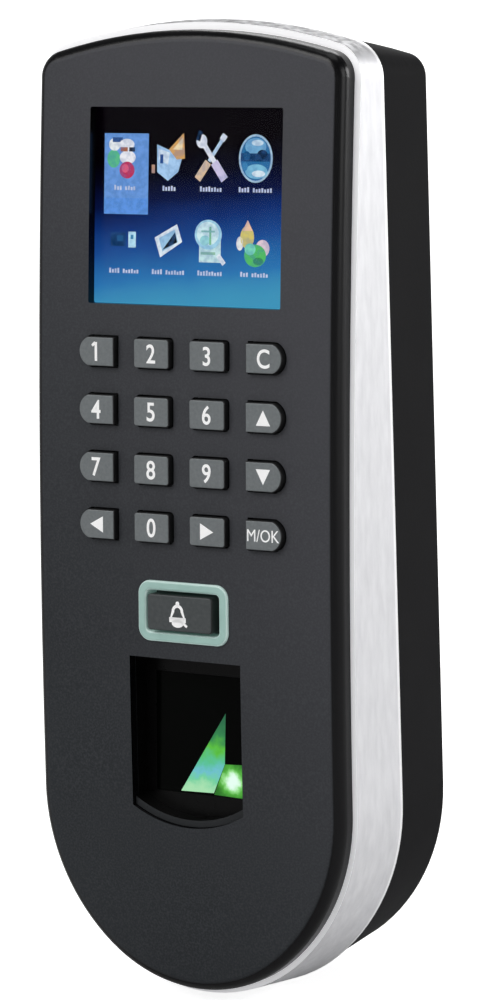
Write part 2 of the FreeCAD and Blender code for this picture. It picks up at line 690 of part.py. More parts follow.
COLUMNS = range(4)
ROWS = range(4)
OUTER_COLUMN = f"({(len(COLUMNS) - 1) / 2} * pitch_across)"
TOP_ROW = f"(grid_centre + {(len(ROWS) - 1) / 2} * pitch_down)"
PAD_TOP = f"({TOP_ROW} + key_tall / 2 + pad_rise)"
PAD_BOTTOM = "(bell_centre - ring_tall / 2 - pad_drop)"
PAD_POST_X = f"({OUTER_COLUMN} + key_across / 2 + flange_margin + pad_post_gap + pad_post_radius)"
COVER_INSIDE = "(half_width - cover_inset - cover_wall)"
PAD_HOLE_SIDE = f"({PAD_POST_X} + small_screw_radius + screw_clearance)"
PAD_HALF = f"({PAD_HOLE_SIDE} + pad_side_share * ({COVER_INSIDE} - {PAD_HOLE_SIDE}))"
FOUR_CORNERS = [(-1, 1), (1, 1), (-1, -1), (1, -1)]
POST_X_TOP = "(half_width - post_side)"
POST_Z_TOP = "(half_height - post_crown)"
POST_X_LOW = f"(({CHIN_RADIUS} - post_chin) * cos(post_chin_turn))"
POST_Z_LOW = f"({CHIN_CENTRE} - ({CHIN_RADIUS} - post_chin) * sin(post_chin_turn))"
COVER_POSTS = [
    (f"({side} * {POST_X_TOP if up > 0 else POST_X_LOW})", POST_Z_TOP if up > 0 else POST_Z_LOW)
    for side, up in FOUR_CORNERS
]
PAD_POSTS = [
    (f"({side} * {PAD_POST_X})",
     f"({PAD_TOP} - pad_post_in)" if up > 0 else f"({PAD_BOTTOM} + pad_post_in)")
    for side, up in FOUR_CORNERS
]
BOARD_POSTS = [
    (f"({side} * (board_half_width - board_post_in))",
     "(board_top - board_post_in)" if up > 0 else "(board_bottom + board_post_in)")
    for side, up in FOUR_CORNERS
]
WALL_HOLES = [(f"({side} * hole_across / 2)", f"({up} * hole_up / 2)") for side, up in FOUR_CORNERS]
BOX_HALF = "(prism_half_width + box_margin + box_wall)"
BOX_TOP = "(prism_top + box_margin + box_wall)"
BOX_BOTTOM = "(prism_bottom - box_margin - box_wall)"
HOOD_BACK = "(hood_floor + hood_wall)"
EAR_X = "(window_half_width + hood_wall + ear_gap + pad_post_radius)"
EAR_SPOTS = [
    (f"({side} * {EAR_X})",
     f"({BOX_TOP} - ear_width / 2)" if up > 0 else f"({BOX_BOTTOM} + ear_width / 2)")
    for side, up in FOUR_CORNERS
]
PAD_BACK = "(mat_front + mat_thick + layer_gap)"
BOARD_BACK = "(board_front - board_thick)"
KEY_NAMES = [
    ["key_1", "key_2", "key_3", "key_clear"],
    ["key_4", "key_5", "key_6", "key_up"],
    ["key_7", "key_8", "key_9", "key_down"],
    ["key_left", "key_0", "key_right", "key_ok"],
]


def key_spot(row, column):
    right = column - (len(COLUMNS) - 1) / 2
    down = row - (len(ROWS) - 1) / 2
    return f"({right} * pitch_across)", f"(grid_centre - {down} * pitch_down)"


# ---------------------------------------------------------------- covers and frame

def make_front_cover():
    body = new_body("front_cover")
    behind = "(cover_depth + half_height)"
    slab = sketch_on(body, "face_sketch", "YZ_Plane", forward="-half_width")
    draw_belly(slab, "0", "cover_depth")
    feature(body, "Pad", "face", slab, "2 * half_width")
    trim_to_belly(body, "face_back", "face_wall", behind)
    around = sketch_on(body, "around_sketch", forward=CLEAR_OF_ALL)
    draw_rectangle(around, "0", "0", CLEAR_OF_ALL, CLEAR_OF_ALL)
    draw_outline(around, "cover_inset")
    feature(body, "Pocket", "around", around)
    skirt = sketch_on(body, "skirt_sketch", forward="-2 * cover_depth")
    draw_outline(skirt, "cover_inset")
    draw_outline(skirt, "(cover_inset + cover_wall)")
    feature(body, "Pad", "skirt", skirt, "2 * cover_depth + 2 * belly_rise")
    trim_to_belly(body, "skirt_front", "0", IN_FRONT)
    shell = trim_to_belly(body, "skirt_back", "cover_depth", behind)

    centre = number(BELLY_RADIUS) - number("belly_rise")

    def on_face(edge):
        spots = [edge.valueAt(edge.FirstParameter), edge.valueAt(edge.LastParameter)]
        return all(abs(math.hypot(p.y - centre, p.z) - number(BELLY_RADIUS)) < 0.01 for p in spots)

    round_edges(body, "edge", shell, "edge_radius", on_face)

    lower = sketch_on(body, "post_sketch", forward=f"-{MATING_DISTANCE}", lean="tilt_angle")
    upper = sketch_on(body, "crown_post_sketch", forward=f"-{MATING_DISTANCE}", lean="tilt_angle")
    bores = sketch_on(body, "bore_sketch", forward=f"-{MATING_DISTANCE}", lean="tilt_angle")
    for x, z in COVER_POSTS:
        draw_circle(upper if z == POST_Z_TOP else lower, x, z, "post_radius")
        draw_circle(bores, x, z, "pilot_radius")
    for name, sketch, height in (("posts", lower, POST_Z_LOW), ("crown_posts", upper, POST_Z_TOP)):
        feature(body, "Pad", name, sketch, f"{mating_at(height)} - {face_at(height)} - face_wall / 2")
    feature(body, "Pocket", "bores", bores, "screw_bite", Reversed=True)

    pad_posts = sketch_on(body, "pad_post_sketch", forward=f"-{PAD_BACK}")
    pad_bores = sketch_on(body, "pad_bore_sketch", forward=f"-{PAD_BACK}")
    for x, z in PAD_POSTS:
        draw_circle(pad_posts, x, z, "pad_post_radius")
        draw_circle(pad_bores, x, z, "small_screw_radius")
    feature(body, "Pad", "pad_posts", pad_posts, f"{PAD_BACK} + belly_rise - face_wall / 2")
    feature(body, "Pocket", "pad_bores", pad_bores, "small_screw_bite", Reversed=True)
    ear_posts = sketch_on(body, "ear_post_sketch", forward=f"-({HOOD_BACK} + layer_gap)")
    ear_bores = sketch_on(body, "ear_bore_sketch", forward=f"-({HOOD_BACK} + layer_gap)")
    for x, z in EAR_SPOTS:
        draw_circle(ear_posts, x, z, "pad_post_radius")
        draw_circle(ear_bores, x, z, "small_screw_radius")
    feature(body, "Pad", "ear_posts", ear_posts, f"{HOOD_BACK} + belly_rise - face_wall")
    feature(body, "Pocket", "ear_bores", ear_bores, "small_screw_bite", Reversed=True)

    openings = sketch_on(body, "openings_sketch", forward="2 * cover_depth")
    draw_rectangle(openings, "0", "screen_centre", "screen_across", "screen_tall", "screen_corner")
    for row in ROWS:
        for column in COLUMNS:
            x, z = key_spot(row, column)
            draw_cap(openings, x, z, column, "key_gap")
    draw_rectangle(openings, "0", "bell_centre", "ring_across + 2 * ring_gap",
                   "ring_tall + 2 * ring_gap", "ring_corner + ring_gap")
    draw_window(openings, "0")
    feature(body, "Pocket", "openings", openings, f"2 * cover_depth + {PAD_BACK}")
    place_on_front(keep(body, "front_cover"))


def make_mid_frame():
    body = new_body("mid_frame")
    front = sketch_on(body, "front_sketch", forward="belly_rise")
    draw_outline(front, "frame_taper")
    rear = sketch_on(body, "rear_sketch", forward=f"-{MATING_DISTANCE}", lean="tilt_angle")
    draw_outline(rear, "0")
    loft(body, "AdditiveLoft", "band", front, rear)
    inside = sketch_on(body, "inside_sketch", forward=CLEAR_OF_ALL)
    draw_outline(inside, "frame_wall")
    feature(body, "Pocket", "inside", inside)
    trim_to_belly(body, "seat", "cover_depth", IN_FRONT)
    place_on_front(keep(body, "mid_frame"))


def make_rear_cover():
    body = new_body("rear_cover")
    rim = sketch_on(body, "rim_sketch", forward="rear_depth", up=drift_at("rear_depth"))
    draw_outline(rim, "rear_step")
    back = sketch_on(body, "back_sketch", up=drift_at("0"))
    draw_outline(back, "rear_taper")
    loft(body, "AdditiveLoft", "block", rim, back)
    mouth = sketch_on(body, "mouth_sketch", forward="rear_depth", up=drift_at("rear_depth"))
    draw_outline(mouth, "(rear_step + rear_wall)")
    floor = sketch_on(body, "floor_sketch", forward="rear_floor", up=drift_at("rear_floor"))
    draw_outline(floor, "(rear_taper + rear_wall)")
    loft(body, "SubtractiveLoft", "hollow", mouth, floor)

    # Well for the speaker, the block round the locking screw, and the posts inside.
    well = sketch_on(body, "well_sketch", forward="rear_floor")
    draw_circle(well, "0", "speaker_centre", "speaker_radius + speaker_gap")
    feature(body, "Pocket", "well", well, "rear_floor - well_floor")
    lock = sketch_on(body, "lock_sketch", forward="rear_floor")
    lock_low = f"(rear_taper + {drift_at('lock_depth')} - half_height + rear_wall / 2)"
    draw_rectangle(lock, "0", f"(({BLOCK_TOP} + {lock_low}) / 2)", "2 * lock_block_half",
                   f"({BLOCK_TOP} - {lock_low})")
    feature(body, "Pad", "lock", lock, "2 * lock_depth - rear_floor")
    columns = sketch_on(body, "columns_sketch", forward="rear_floor")
    for x, z in COVER_POSTS:
        draw_circle(columns, x, f"({z} + {drift_at('rear_depth')})", "rear_post_radius")
    feature(body, "Pad", "columns", columns, "rear_depth - rear_floor")
    posts = sketch_on(body, "posts_sketch", forward="rear_floor")
    for x, z in BOARD_POSTS:
        draw_circle(posts, x, z, "board_post_radius")
    feature(body, "Pad", "posts", posts, f"{BOARD_BACK} - rear_floor")
    pilots = sketch_on(body, "pilots_sketch", forward=BOARD_BACK)
    for x, z in BOARD_POSTS:
        draw_circle(pilots, x, z, "small_screw_radius")
    feature(body, "Pocket", "pilots", pilots, "small_screw_bite + layer_gap")

    # Recess for the wall plate and its tongue, cut from the back.
    recess = sketch_on(body, "recess_sketch")
    draw_rectangle(recess, "0", "0", "2 * (plate_half_width + recess_gap)",
                   "2 * (plate_half_height + recess_gap)", "plate_corner")
    feature(body, "Pocket", "recess", recess, "recess_depth", Reversed=True)
    groove = sketch_on(body, "groove_sketch")
    draw_rectangle(groove, "0", f"({TONGUE_END} - hook_rise) / 2",
                   "2 * (tongue_half_width + recess_gap)", f"hook_rise - {TONGUE_END}")
    feature(body, "Pocket", "groove", groove, "recess_depth", Reversed=True)
    reliefs = sketch_on(body, "reliefs_sketch")
    for x, z in WALL_HOLES:
        draw_circle(reliefs, x, z, "head_room")
    feature(body, "Pocket", "reliefs", reliefs, "recess_depth + relief_depth", Reversed=True)

    # Openings right through the back: wiring bay, hook slots, flange slot, plunger and screws.
    through = sketch_on(body, "through_sketch")
    draw_rectangle(through, "0", "(bay_top + bay_bottom) / 2", "2 * bay_half_width",
                   "bay_top - bay_bottom", "bay_corner")
    for side in (-1, 1):
        draw_rectangle(through, f"{side} * hook_offset",
                       "plate_half_height - hook_rise / 2 - plate_thick / 2 + hook_gap",
                       "hook_across + 4 * hook_gap", "hook_rise + 2 * plate_thick")
    draw_rectangle(through, "0", f"{TONGUE_END} + (plate_thick + hook_gap - hook_rise) / 2",
                   "2 * (tongue_half_width + hook_gap)", "plate_thick + hook_gap + hook_rise")
    draw_circle(through, "0", "tamper_centre", "tamper_radius + tamper_gap")
    feature(body, "Pocket", "through", through, "rear_floor + layer_gap", Reversed=True)
    holes = sketch_on(body, "holes_sketch")
    heads = sketch_on(body, "heads_sketch")
    for x, z in COVER_POSTS:
        height = f"({z} + {drift_at('rear_depth')})"
        draw_circle(holes, x, height, "screw_radius + screw_clearance")
        draw_circle(heads, x, height, "head_radius + 2 * screw_clearance")
    feature(body, "Pocket", "holes", holes, Reversed=True)
    feature(body, "Pocket", "heads", heads, "rear_floor", Reversed=True)

    # Speaker grille: a hole in the middle and two rings of holes.
    grille = sketch_on(body, "grille_sketch")
    draw_circle(grille, "0", "speaker_centre", "grille_radius")
    for ring, count in ((1, 6), (2, 12)):
        for k in range(count):
            turn = 360 / count * k
            draw_circle(grille, f"({ring} * grille_pitch * cos({turn}))",
                        f"(speaker_centre + {ring} * grille_pitch * sin({turn}))", "grille_radius")
    feature(body, "Pocket", "grille", grille, "well_floor + layer_gap", Reversed=True)

    # Bore for the locking screw, from below.
    bore = sketch_on(body, "lock_bore_sketch", "XY_Plane", forward="-half_height - rear_floor")
    draw_circle(bore, "0", "-lock_depth", "lock_radius + screw_clearance")
    feature(body, "Pocket", "lock_bore", bore, f"rear_floor + half_height + {LOCK_TIP} + hook_gap",
            Reversed=True)
    seat = sketch_on(body, "lock_seat_sketch", "XY_Plane", forward="-half_height - rear_floor")
    draw_circle(seat, "0", "-lock_depth", "lock_head_radius + screw_clearance")
    feature(body, "Pocket", "lock_seat", seat, f"{LOCK_SEAT} + half_height + rear_floor", Reversed=True)
    keep(body, "rear_cover")


def make_wall_plate():
    body = new_body("wall_plate")
    sheet_sketch = sketch_on(body, "sheet_sketch")
    draw_rectangle(sheet_sketch, "0", "0", "2 * plate_half_width", "2 * plate_half_height",
                   "plate_corner")
    feature(body, "Pad", "sheet", sheet_sketch, "plate_thick")
    tongue = sketch_on(body, "tongue_sketch")
    draw_rectangle(tongue, "0", f"{TONGUE_END} / 2", "2 * tongue_half_width", f"-{TONGUE_END}")
    feature(body, "Pad", "tongue", tongue, "plate_thick")
    flange = sketch_on(body, "flange_sketch")
    draw_rectangle(flange, "0", f"{TONGUE_END} + plate_thick / 2", "2 * tongue_half_width",
                   "plate_thick")
    feature(body, "Pad", "flange", flange, "plate_thick + tongue_reach")
    tabs = sketch_on(body, "tabs_sketch")
    tips = sketch_on(body, "tips_sketch", forward="rear_floor + hook_gap")
    for side in (-1, 1):
        draw_rectangle(tabs, f"{side} * hook_offset", "plate_half_height - plate_thick / 2",
                       "hook_across", "plate_thick")
        draw_rectangle(tips, f"{side} * hook_offset",
                       "plate_half_height - plate_thick / 2 + hook_rise / 2",
                       "hook_across", "plate_thick + hook_rise")
    feature(body, "Pad", "tabs", tabs, "rear_floor + hook_gap + plate_thick")
    feature(body, "Pad", "tips", tips, "plate_thick")
    holes = sketch_on(body, "holes_sketch")
    draw_rectangle(holes, "0", "(cable_top + cable_bottom) / 2", "2 * cable_half_width",
                   "cable_top - cable_bottom", "bay_corner")
    for x, z in WALL_HOLES:
        draw_circle(holes, x, z, "hole_radius")
    feature(body, "Pocket", "holes", holes, "plate_thick", Reversed=True)
    thread = sketch_on(body, "thread_sketch", "XY_Plane", forward=f"{TONGUE_END} - plate_thick")
    draw_circle(thread, "0", "-lock_depth", "lock_radius")
    feature(body, "Pocket", "thread", thread, "3 * plate_thick", Reversed=True)
    keep(body, "wall_plate")


def make_case_fixings():
    screws = []
    for k, (x, z) in enumerate(COVER_POSTS):
        height = f"({z} + {drift_at('rear_depth')})"
        length = "(rear_depth - rear_floor + screw_bite - 2 * screw_radius)"
        screws.append(screw(f"case_screw_{k}", x, "-rear_floor", height, "head_radius",
                            "head_height", "screw_radius", length))
    keep(group("case_screws", *screws), "case_screws")
    head = rod("lock_head", "0", "-lock_depth", f"{LOCK_SEAT} - lock_head_height",
               "lock_head_radius", "lock_head_height", axis="Z")
    shank = rod("lock_shank", "0", "-lock_depth", LOCK_SEAT, "lock_radius",
                f"{LOCK_TIP} - {LOCK_SEAT}", axis="Z")
    socket = rod("lock_socket", "0", "-lock_depth", f"{LOCK_SEAT} - lock_head_height",
                 "lock_head_radius / 2", "lock_head_height / 2", axis="Z")
    keep(cut("lock_screw", fuse("lock_solid", head, shank), socket), "lock_screw")


# ---------------------------------------------------------------- display

LENS_ACROSS = "(screen_across + 2 * lens_margin)"
LENS_TALL = "(screen_tall + 2 * lens_margin)"
LENS_FRONT = "(face_wall + lens_gap)"
PANEL_FRONT = f"({LENS_FRONT} + lens_thick + lens_air)"
LIGHT_FRONT = f"({PANEL_FRONT} + panel_thick + layer_gap)"
TRAY_BACK = f"({LIGHT_FRONT} + backlight_thick + layer_gap + tray_wall)"


def place_on_screen(item):
    """The display lies flat against the bowed face, so it leans a little more."""
    slope = f"asin(screen_centre / {BELLY_RADIUS}) / 1deg"
    place_on_front(item, "0", face_at("screen_centre"), "screen_centre", slope)


def make_display():
    layers = (
        ("display_lens", LENS_FRONT, "lens_thick"),
        ("display_panel", PANEL_FRONT, "panel_thick"),
        ("display_backlight", LIGHT_FRONT, "backlight_thick"),
    )
    for label, front, thick in layers:
        body = new_body(label)
        sketch = sketch_on(body, "sketch", forward=f"-({front} + {thick})")
        draw_rectangle(sketch, "0", "0", LENS_ACROSS, LENS_TALL, "screen_corner")
        feature(body, "Pad", "pad", sketch, thick)
        place_on_screen(keep(body, label))

    body = new_body("display_tray")
    grown = "2 * (layer_gap + tray_wall)"
    outer = sketch_on(body, "outer_sketch", forward=f"-{TRAY_BACK}")
    draw_rectangle(outer, "0", "0", f"{LENS_ACROSS} + {grown}", f"{LENS_TALL} + {grown}",
                   "screen_corner + tray_wall")
    feature(body, "Pad", "outer", outer, f"{TRAY_BACK} - {LENS_FRONT}")
    inner = sketch_on(body, "inner_sketch", forward=f"-{LENS_FRONT}")
    draw_rectangle(inner, "0", "0", f"{LENS_ACROSS} + 2 * layer_gap",
                   f"{LENS_TALL} + 2 * layer_gap", "screen_corner")
    feature(body, "Pocket", "inner", inner, f"{TRAY_BACK} - {LENS_FRONT} - tray_wall")
    place_on_screen(keep(body, "display_tray"))


# ---------------------------------------------------------------- keys, bell button and ring

def make_pressed_piece(label, draw, proud, seat, edge):
    """A cap that shows through the cover, with a retaining flange behind it."""
    body = new_body(label)
    flange = sketch_on(body, "flange_sketch", forward=f"-({seat} + flange_thick)")
    draw(flange, "flange_margin")
    feature(body, "Pad", "flange", flange, "flange_thick")
    cap = sketch_on(body, "cap_sketch", forward=f"-{seat}")
    draw(cap, "0")
    raised = feature(body, "Pad", "cap", cap, f"{seat} + {proud}")
    height = -number(proud)
    round_edges(body, "top", raised, edge,
                lambda edge: all(abs(vertex.Y - height) < 0.001 for vertex in edge.Vertexes))
    return body


def make_keys():
    seat = "(face_wall + flange_gap)"
    for row in ROWS:
        for column in COLUMNS:
            label = KEY_NAMES[row][column]
            body = make_pressed_piece(
                label, lambda sketch, grow: draw_cap(sketch, "0", "0", column, grow),
                "key_proud", seat, "key_edge")
            x, z = key_spot(row, column)
            place_on_front(keep(body, label), x, face_at(z), z)


def make_bell():
    # The light ring shows proud of the face and is held by a flange behind the cover.
    body = new_body("light_ring")
    flange_front = "(face_wall + flange_gap)"
    ring_back = f"({flange_front} + ring_flange)"
    inner = ("ring_across - 2 * ring_band", "ring_tall - 2 * ring_band", "ring_band / 2")
    flange = sketch_on(body, "flange_sketch", forward=f"-{ring_back}")
    draw_rectangle(flange, "0", "0", "ring_across + 2 * ring_flange",
                   "ring_tall + 2 * ring_flange", "ring_corner + ring_flange")
    draw_rectangle(flange, "0", "0", *inner)
    feature(body, "Pad", "flange", flange, "ring_flange")
    band = sketch_on(body, "band_sketch", forward=f"-{flange_front}")
    draw_rectangle(band, "0", "0", "ring_across", "ring_tall", "ring_corner")
    draw_rectangle(band, "0", "0", *inner)
    raised = feature(body, "Pad", "band", band, f"{flange_front} + ring_proud")
    height = -number("ring_proud")
    round_edges(body, "top", raised, "ring_edge",
                lambda edge: all(abs(vertex.Y - height) < 0.001 for vertex in edge.Vertexes))
    place_on_front(keep(body, "light_ring"), "0", face_at("bell_centre"), "bell_centre")

    def draw(sketch, grow):
        draw_rectangle(sketch, "0", "0", f"button_across + 2 * {grow}", f"button_tall + 2 * {grow}",
                       f"button_corner + {grow}")

    button = make_pressed_piece("bell_button", draw, "button_proud", f"({ring_back} + flange_gap)",
                                "key_edge")
    place_on_front(keep(button, "bell_button"), "0", face_at("bell_centre"), "bell_centre")


def make_keypad():
    mat_top = f"({PAD_TOP} - 2 * layer_gap)"
    mat_low = f"({PAD_BOTTOM} + 2 * layer_gap)"
    body = new_body("keypad_mat")
    sheet_sketch = sketch_on(body, "sheet_sketch", forward="-(mat_front + mat_thick)")
    draw_rectangle(sheet_sketch, "0", f"({mat_top} + {mat_low}) / 2",
                   f"2 * ({OUTER_COLUMN} + mat_side)", f"{mat_top} - {mat_low}", "key_corner")
    for side in (-1, 1):
        draw_rectangle(sheet_sketch, f"{side} * (ring_across - ring_band) / 2", "bell_centre",
                       "2 * ring_band", "2 * ring_band")
    feature(body, "Pad", "sheet", sheet_sketch, "mat_thick")
    domes = sketch_on(body, "domes_sketch", forward="-mat_front")
    for row in ROWS:
        for column in COLUMNS:
            draw_circle(domes, *key_spot(row, column), "dome_radius")
    # The domes are drawn as a pressed key leaves them.
    key_back = f"({face_at('grid_centre')} + face_wall + flange_gap + flange_thick)"
    feature(body, "Pad", "domes", domes, f"mat_front - {key_back} - key_travel - dome_room")
    place_on_front(keep(body, "keypad_mat"))

    body = new_body("keypad_board")
    board = sketch_on(body, "board_sketch", forward=f"-({PAD_BACK} + pad_board_thick)")
    draw_rectangle(board, "0", f"({PAD_TOP} + {PAD_BOTTOM}) / 2", f"2 * {PAD_HALF}",
                   f"{PAD_TOP} - {PAD_BOTTOM}", "key_corner")
    for x, z in PAD_POSTS:
        draw_circle(board, x, z, "small_screw_radius + screw_clearance")
    feature(body, "Pad", "board", board, "pad_board_thick")
    place_on_front(keep(body, "keypad_board"))

    screws = [
        screw(f"pad_screw_{k}", x, f"({PAD_BACK} + pad_board_thick)", z, "small_head_radius",
              "small_head_height", "small_screw_radius",
              "(pad_board_thick + small_screw_bite - 2 * screw_clearance)")
        for k, (x, z) in enumerate(PAD_POSTS)
    ]
    place_on_front(keep(group("keypad_screws", *screws), "keypad_screws"))

    lamps = [
        box(f"ring_led_{k}", f"{side} * (ring_across - ring_band) / 2 - ring_led_across / 2",
            f"{PAD_BACK} - ring_led_deep", "bell_centre - ring_led_tall / 2", "ring_led_across",
            "ring_led_deep", "ring_led_tall")
        for k, side in enumerate((-1, 1))
    ]
    place_on_front(keep(group("ring_leds", *lamps), "ring_leds"))


# ---------------------------------------------------------------- finger window and sensor

def make_sensor_hood():
    body = new_body("sensor_hood")
    cup = sketch_on(body, "cup_sketch", forward=f"-{HOOD_BACK}")
    draw_window(cup, "hood_wall")
    feature(body, "Pad", "cup", cup, f"{HOOD_BACK} + belly_rise")
    trim_to_belly(body, "cup_front", "(face_wall + hood_gap)", IN_FRONT)
    lip = sketch_on(body, "lip_sketch", forward="-hood_floor")
    draw_window(lip, "(-hood_gap)")
    feature(body, "Pad", "lip", lip, "hood_floor + belly_rise")
    trim_to_belly(body, "lip_front", "lip_depth", IN_FRONT)
    hollow = sketch_on(body, "hollow_sketch", forward="2 * belly_rise")
    draw_window(hollow, "0", "lip_width")
    feature(body, "Pocket", "hollow", hollow, "2 * belly_rise + hood_floor")
    seat = sketch_on(body, "seat_sketch", forward="-hood_floor")
    draw_rectangle(seat, "0", "(prism_top + prism_bottom) / 2",
                   "2 * (prism_half_width + prism_gap)", "prism_top - prism_bottom + 2 * prism_gap")
    feature(body, "Pocket", "seat", seat, "2 * hood_wall")
    place_on_front(keep(body, "sensor_hood"))


def make_prism():
    body = new_body("sensor_prism")
    sketch = sketch_on(body, "sketch", "YZ_Plane", forward="-prism_half_width")
    top, low = number("prism_top"), number("prism_bottom")
    near = number("hood_floor")
    shoulder = near + number("prism_shank")
    point = (near + number("prism_depth"), (top + low) / 2)
    pieces = [
        line((near, top), (near, low)),
        line((near, low), (shoulder, low)),
        line((shoulder, low), point),
        line(point, (shoulder, top)),
        line((shoulder, top), (near, top)),
    ]
    n = add_loop(sketch, pieces, "Coincident")
    sketch.addConstraint([
        Sketcher.Constraint("Vertical", n),
        Sketcher.Constraint("Horizontal", n + 1),
        Sketcher.Constraint("Horizontal", n + 4),
        Sketcher.Constraint("Equal", n + 1, n + 4),
    ])
    dimension(sketch, "DistanceX", "near", "hood_floor", -1, 1, n, 1)
    dimension(sketch, "DistanceY", "top", "prism_top", -1, 1, n, 1)
    dimension(sketch, "DistanceY", "tall", "prism_top - prism_bottom", n, 2, n, 1)
    dimension(sketch, "DistanceX", "shank", "prism_shank", n + 1, 1, n + 1, 2)
    dimension(sketch, "DistanceX", "point_y", "hood_floor + prism_depth", -1, 1, n + 2, 2)
    dimension(sketch, "DistanceY", "point_z", "(prism_top + prism_bottom) / 2", -1, 1, n + 2, 2)
    feature(body, "Pad", "pad", sketch, "2 * prism_half_width")
    place_on_front(keep(body, "sensor_prism"))


def make_sensor_module():
    front = f"({HOOD_BACK} + layer_gap)"
    middle = f"(({BOX_TOP} + {BOX_BOTTOM}) / 2)"
    body = new_body("sensor_housing")
    outer = sketch_on(body, "outer_sketch", forward=f"-({front} + box_depth)")
    draw_rectangle(outer, "0", middle, f"2 * {BOX_HALF}", f"{BOX_TOP} - {BOX_BOTTOM}")
    feature(body, "Pad", "outer", outer, "box_depth")
    ears = sketch_on(body, "ears_sketch", forward=f"-({front} + ear_thick)")
    ear_end = f"({EAR_X} + ear_width / 2)"
    for (x, z), (side, up) in zip(EAR_SPOTS, FOUR_CORNERS):
        draw_rectangle(ears, f"{side} * ({BOX_HALF} + {ear_end}) / 2", z, f"{ear_end} - {BOX_HALF}",
                       "ear_width")
    feature(body, "Pad", "ears", ears, "ear_thick")
    inner = sketch_on(body, "inner_sketch", forward=f"-{front} + layer_gap")
    draw_rectangle(inner, "0", middle, f"2 * ({BOX_HALF} - box_wall)",
                   f"{BOX_TOP} - {BOX_BOTTOM} - 2 * box_wall")
    feature(body, "Pocket", "inner", inner)
    holes = sketch_on(body, "holes_sketch", forward=f"-{front} + layer_gap")
    for x, z in EAR_SPOTS:
        draw_circle(holes, x, z, "small_screw_radius + screw_clearance")
    feature(body, "Pocket", "holes", holes)
    place_on_front(keep(body, "sensor_housing"))

    screws = [
        screw(f"sensor_screw_{k}", x, f"({front} + ear_thick)", z, "small_head_radius",
              "small_head_height", "small_screw_radius",
              "(ear_thick + small_screw_bite - 2 * screw_clearance)")
        for k, (x, z) in enumerate(EAR_SPOTS)
    ]
    place_on_front(keep(group("sensor_screws", *screws), "sensor_screws"))

    back = f"({front} + box_depth + layer_gap)"
    board = box("sensor_board", f"-{BOX_HALF}", back, BOX_BOTTOM, f"2 * {BOX_HALF}",
                "camera_board_thick", f"{BOX_TOP} - {BOX_BOTTOM}")
    place_on_front(keep(board, "sensor_board"), f"-{BOX_HALF}", back, BOX_BOTTOM)

    barrel = rod("camera_barrel", "0", f"({back} - camera_lens_length)", middle,
                 "camera_lens_radius", "camera_lens_length")
    opening = rod("camera_opening", "0", f"({back} - camera_lens_length)", middle,
                  "camera_lens_radius / 2", "camera_lens_length / 3")
    place_on_front(keep(cut("sensor_lens", barrel, opening), "sensor_lens"))

    lamps = [
        box(f"sensor_led_{k}", f"{place} * prism_half_width - lamp_side / 2",
            f"({front} + ear_thick)", "prism_bottom - prism_gap - lamp_drop - lamp_tall",
            "lamp_side", "lamp_side", "lamp_tall")
        for k, place in enumerate((-0.75, -0.25, 0.25, 0.75))
    ]
    place_on_front(keep(group("sensor_leds", *lamps), "sensor_leds"))


# ---------------------------------------------------------------- main board

def make_main_board():
    body = new_body("main_board")
    board = sketch_on(body, "board_sketch", forward=BOARD_BACK)
    draw_rectangle(board, "0", "(board_top + board_bottom) / 2", "2 * board_half_width",
                   "board_top - board_bottom", "key_corner")
    for x, z in BOARD_POSTS:
        draw_circle(board, x, z, "small_screw_radius + screw_clearance")
    feature(body, "Pad", "board", board, "board_thick")
    keep(body, "main_board")
    screws = [
        screw(f"board_screw_{k}", x, "(-board_front)", z, "small_head_radius", "small_head_height",
              "small_screw_radius", "(board_thick + small_screw_bite - 2 * screw_clearance)", "back")
        for k, (x, z) in enumerate(BOARD_POSTS)
    ]
    keep(group("board_screws", *screws), "board_screws")


def make_chips():
    def chip(name, x, z, across, tall):
        return box(name, f"{x} - {across} / 2", "(-board_front - chip_thick)", f"{z} - {tall} / 2",
                   across, "chip_thick", tall)

    keep(chip("processor", "0", "processor_height", "processor_side", "processor_side"), "processor")
    memory = [
        chip(f"memory_{k}", f"{side} * memory_offset", "memory_height", "memory_across", "memory_tall")
        for k, side in enumerate((-1, 1))
    ]
    keep(group("memory_chips", *memory), "memory_chips")
    network = chip("network_chip", "network_offset", "network_height", "network_side", "network_side")
    keep(network, "network_chip")
    relay = box("relay", "relay_offset - relay_across / 2", f"(-{BOARD_BACK})", "relay_low",
                "relay_across", "relay_deep", "relay_tall")
    keep(relay, "relay")


def make_coin_cell():
    back = f"(-{BOARD_BACK})"
    ring = rod("cell_ring", "cell_offset", back, "cell_height", "cell_radius + cell_gap + cell_rim",
               "cell_floor + cell_thick + cell_rim")
    room = rod("cell_room", "cell_offset", f"({back} + cell_floor)", "cell_height",
               "cell_radius + cell_gap", "2 * (cell_thick + cell_rim)")
    keep(cut("cell_holder", ring, room), "cell_holder")
    keep(rod("coin_cell", "cell_offset", f"({back} + cell_floor + layer_gap)", "cell_height",
             "cell_radius", "cell_thick"), "coin_cell")


def make_connectors():
    back = f"(-{BOARD_BACK})"
    left = "(jack_offset - jack_across / 2)"
    shell = box("jack_shell", left, back, "jack_bottom", "jack_across", "jack_depth", "jack_tall")
    room = box("jack_room", f"{left} + jack_wall", f"({back} + jack_wall)", "jack_bottom - jack_wall",
               "jack_across - 2 * jack_wall", "jack_depth - 2 * jack_wall", "jack_tall")
    keep(cut("network_jack", shell, room), "network_jack")
    headers = []
    for k in range(3):
        low = f"(header_first - {k} * header_pitch - header_tall / 2)"
        start = "(header_offset - header_across / 2)"
        shroud = box(f"header_{k}_shroud", start, back, low, "header_across", "header_depth",
                     "header_tall")
        slot = box(f"header_{k}_slot", f"{start} + header_wall", f"({back} + header_wall)",
                   f"{low} + header_wall", "header_across - 2 * header_wall", "header_depth",
                   "header_tall - 2 * header_wall")
        headers.append(cut(f"header_{k}", shroud, slot))
    keep(group("wiring_headers", *headers), "wiring_headers")


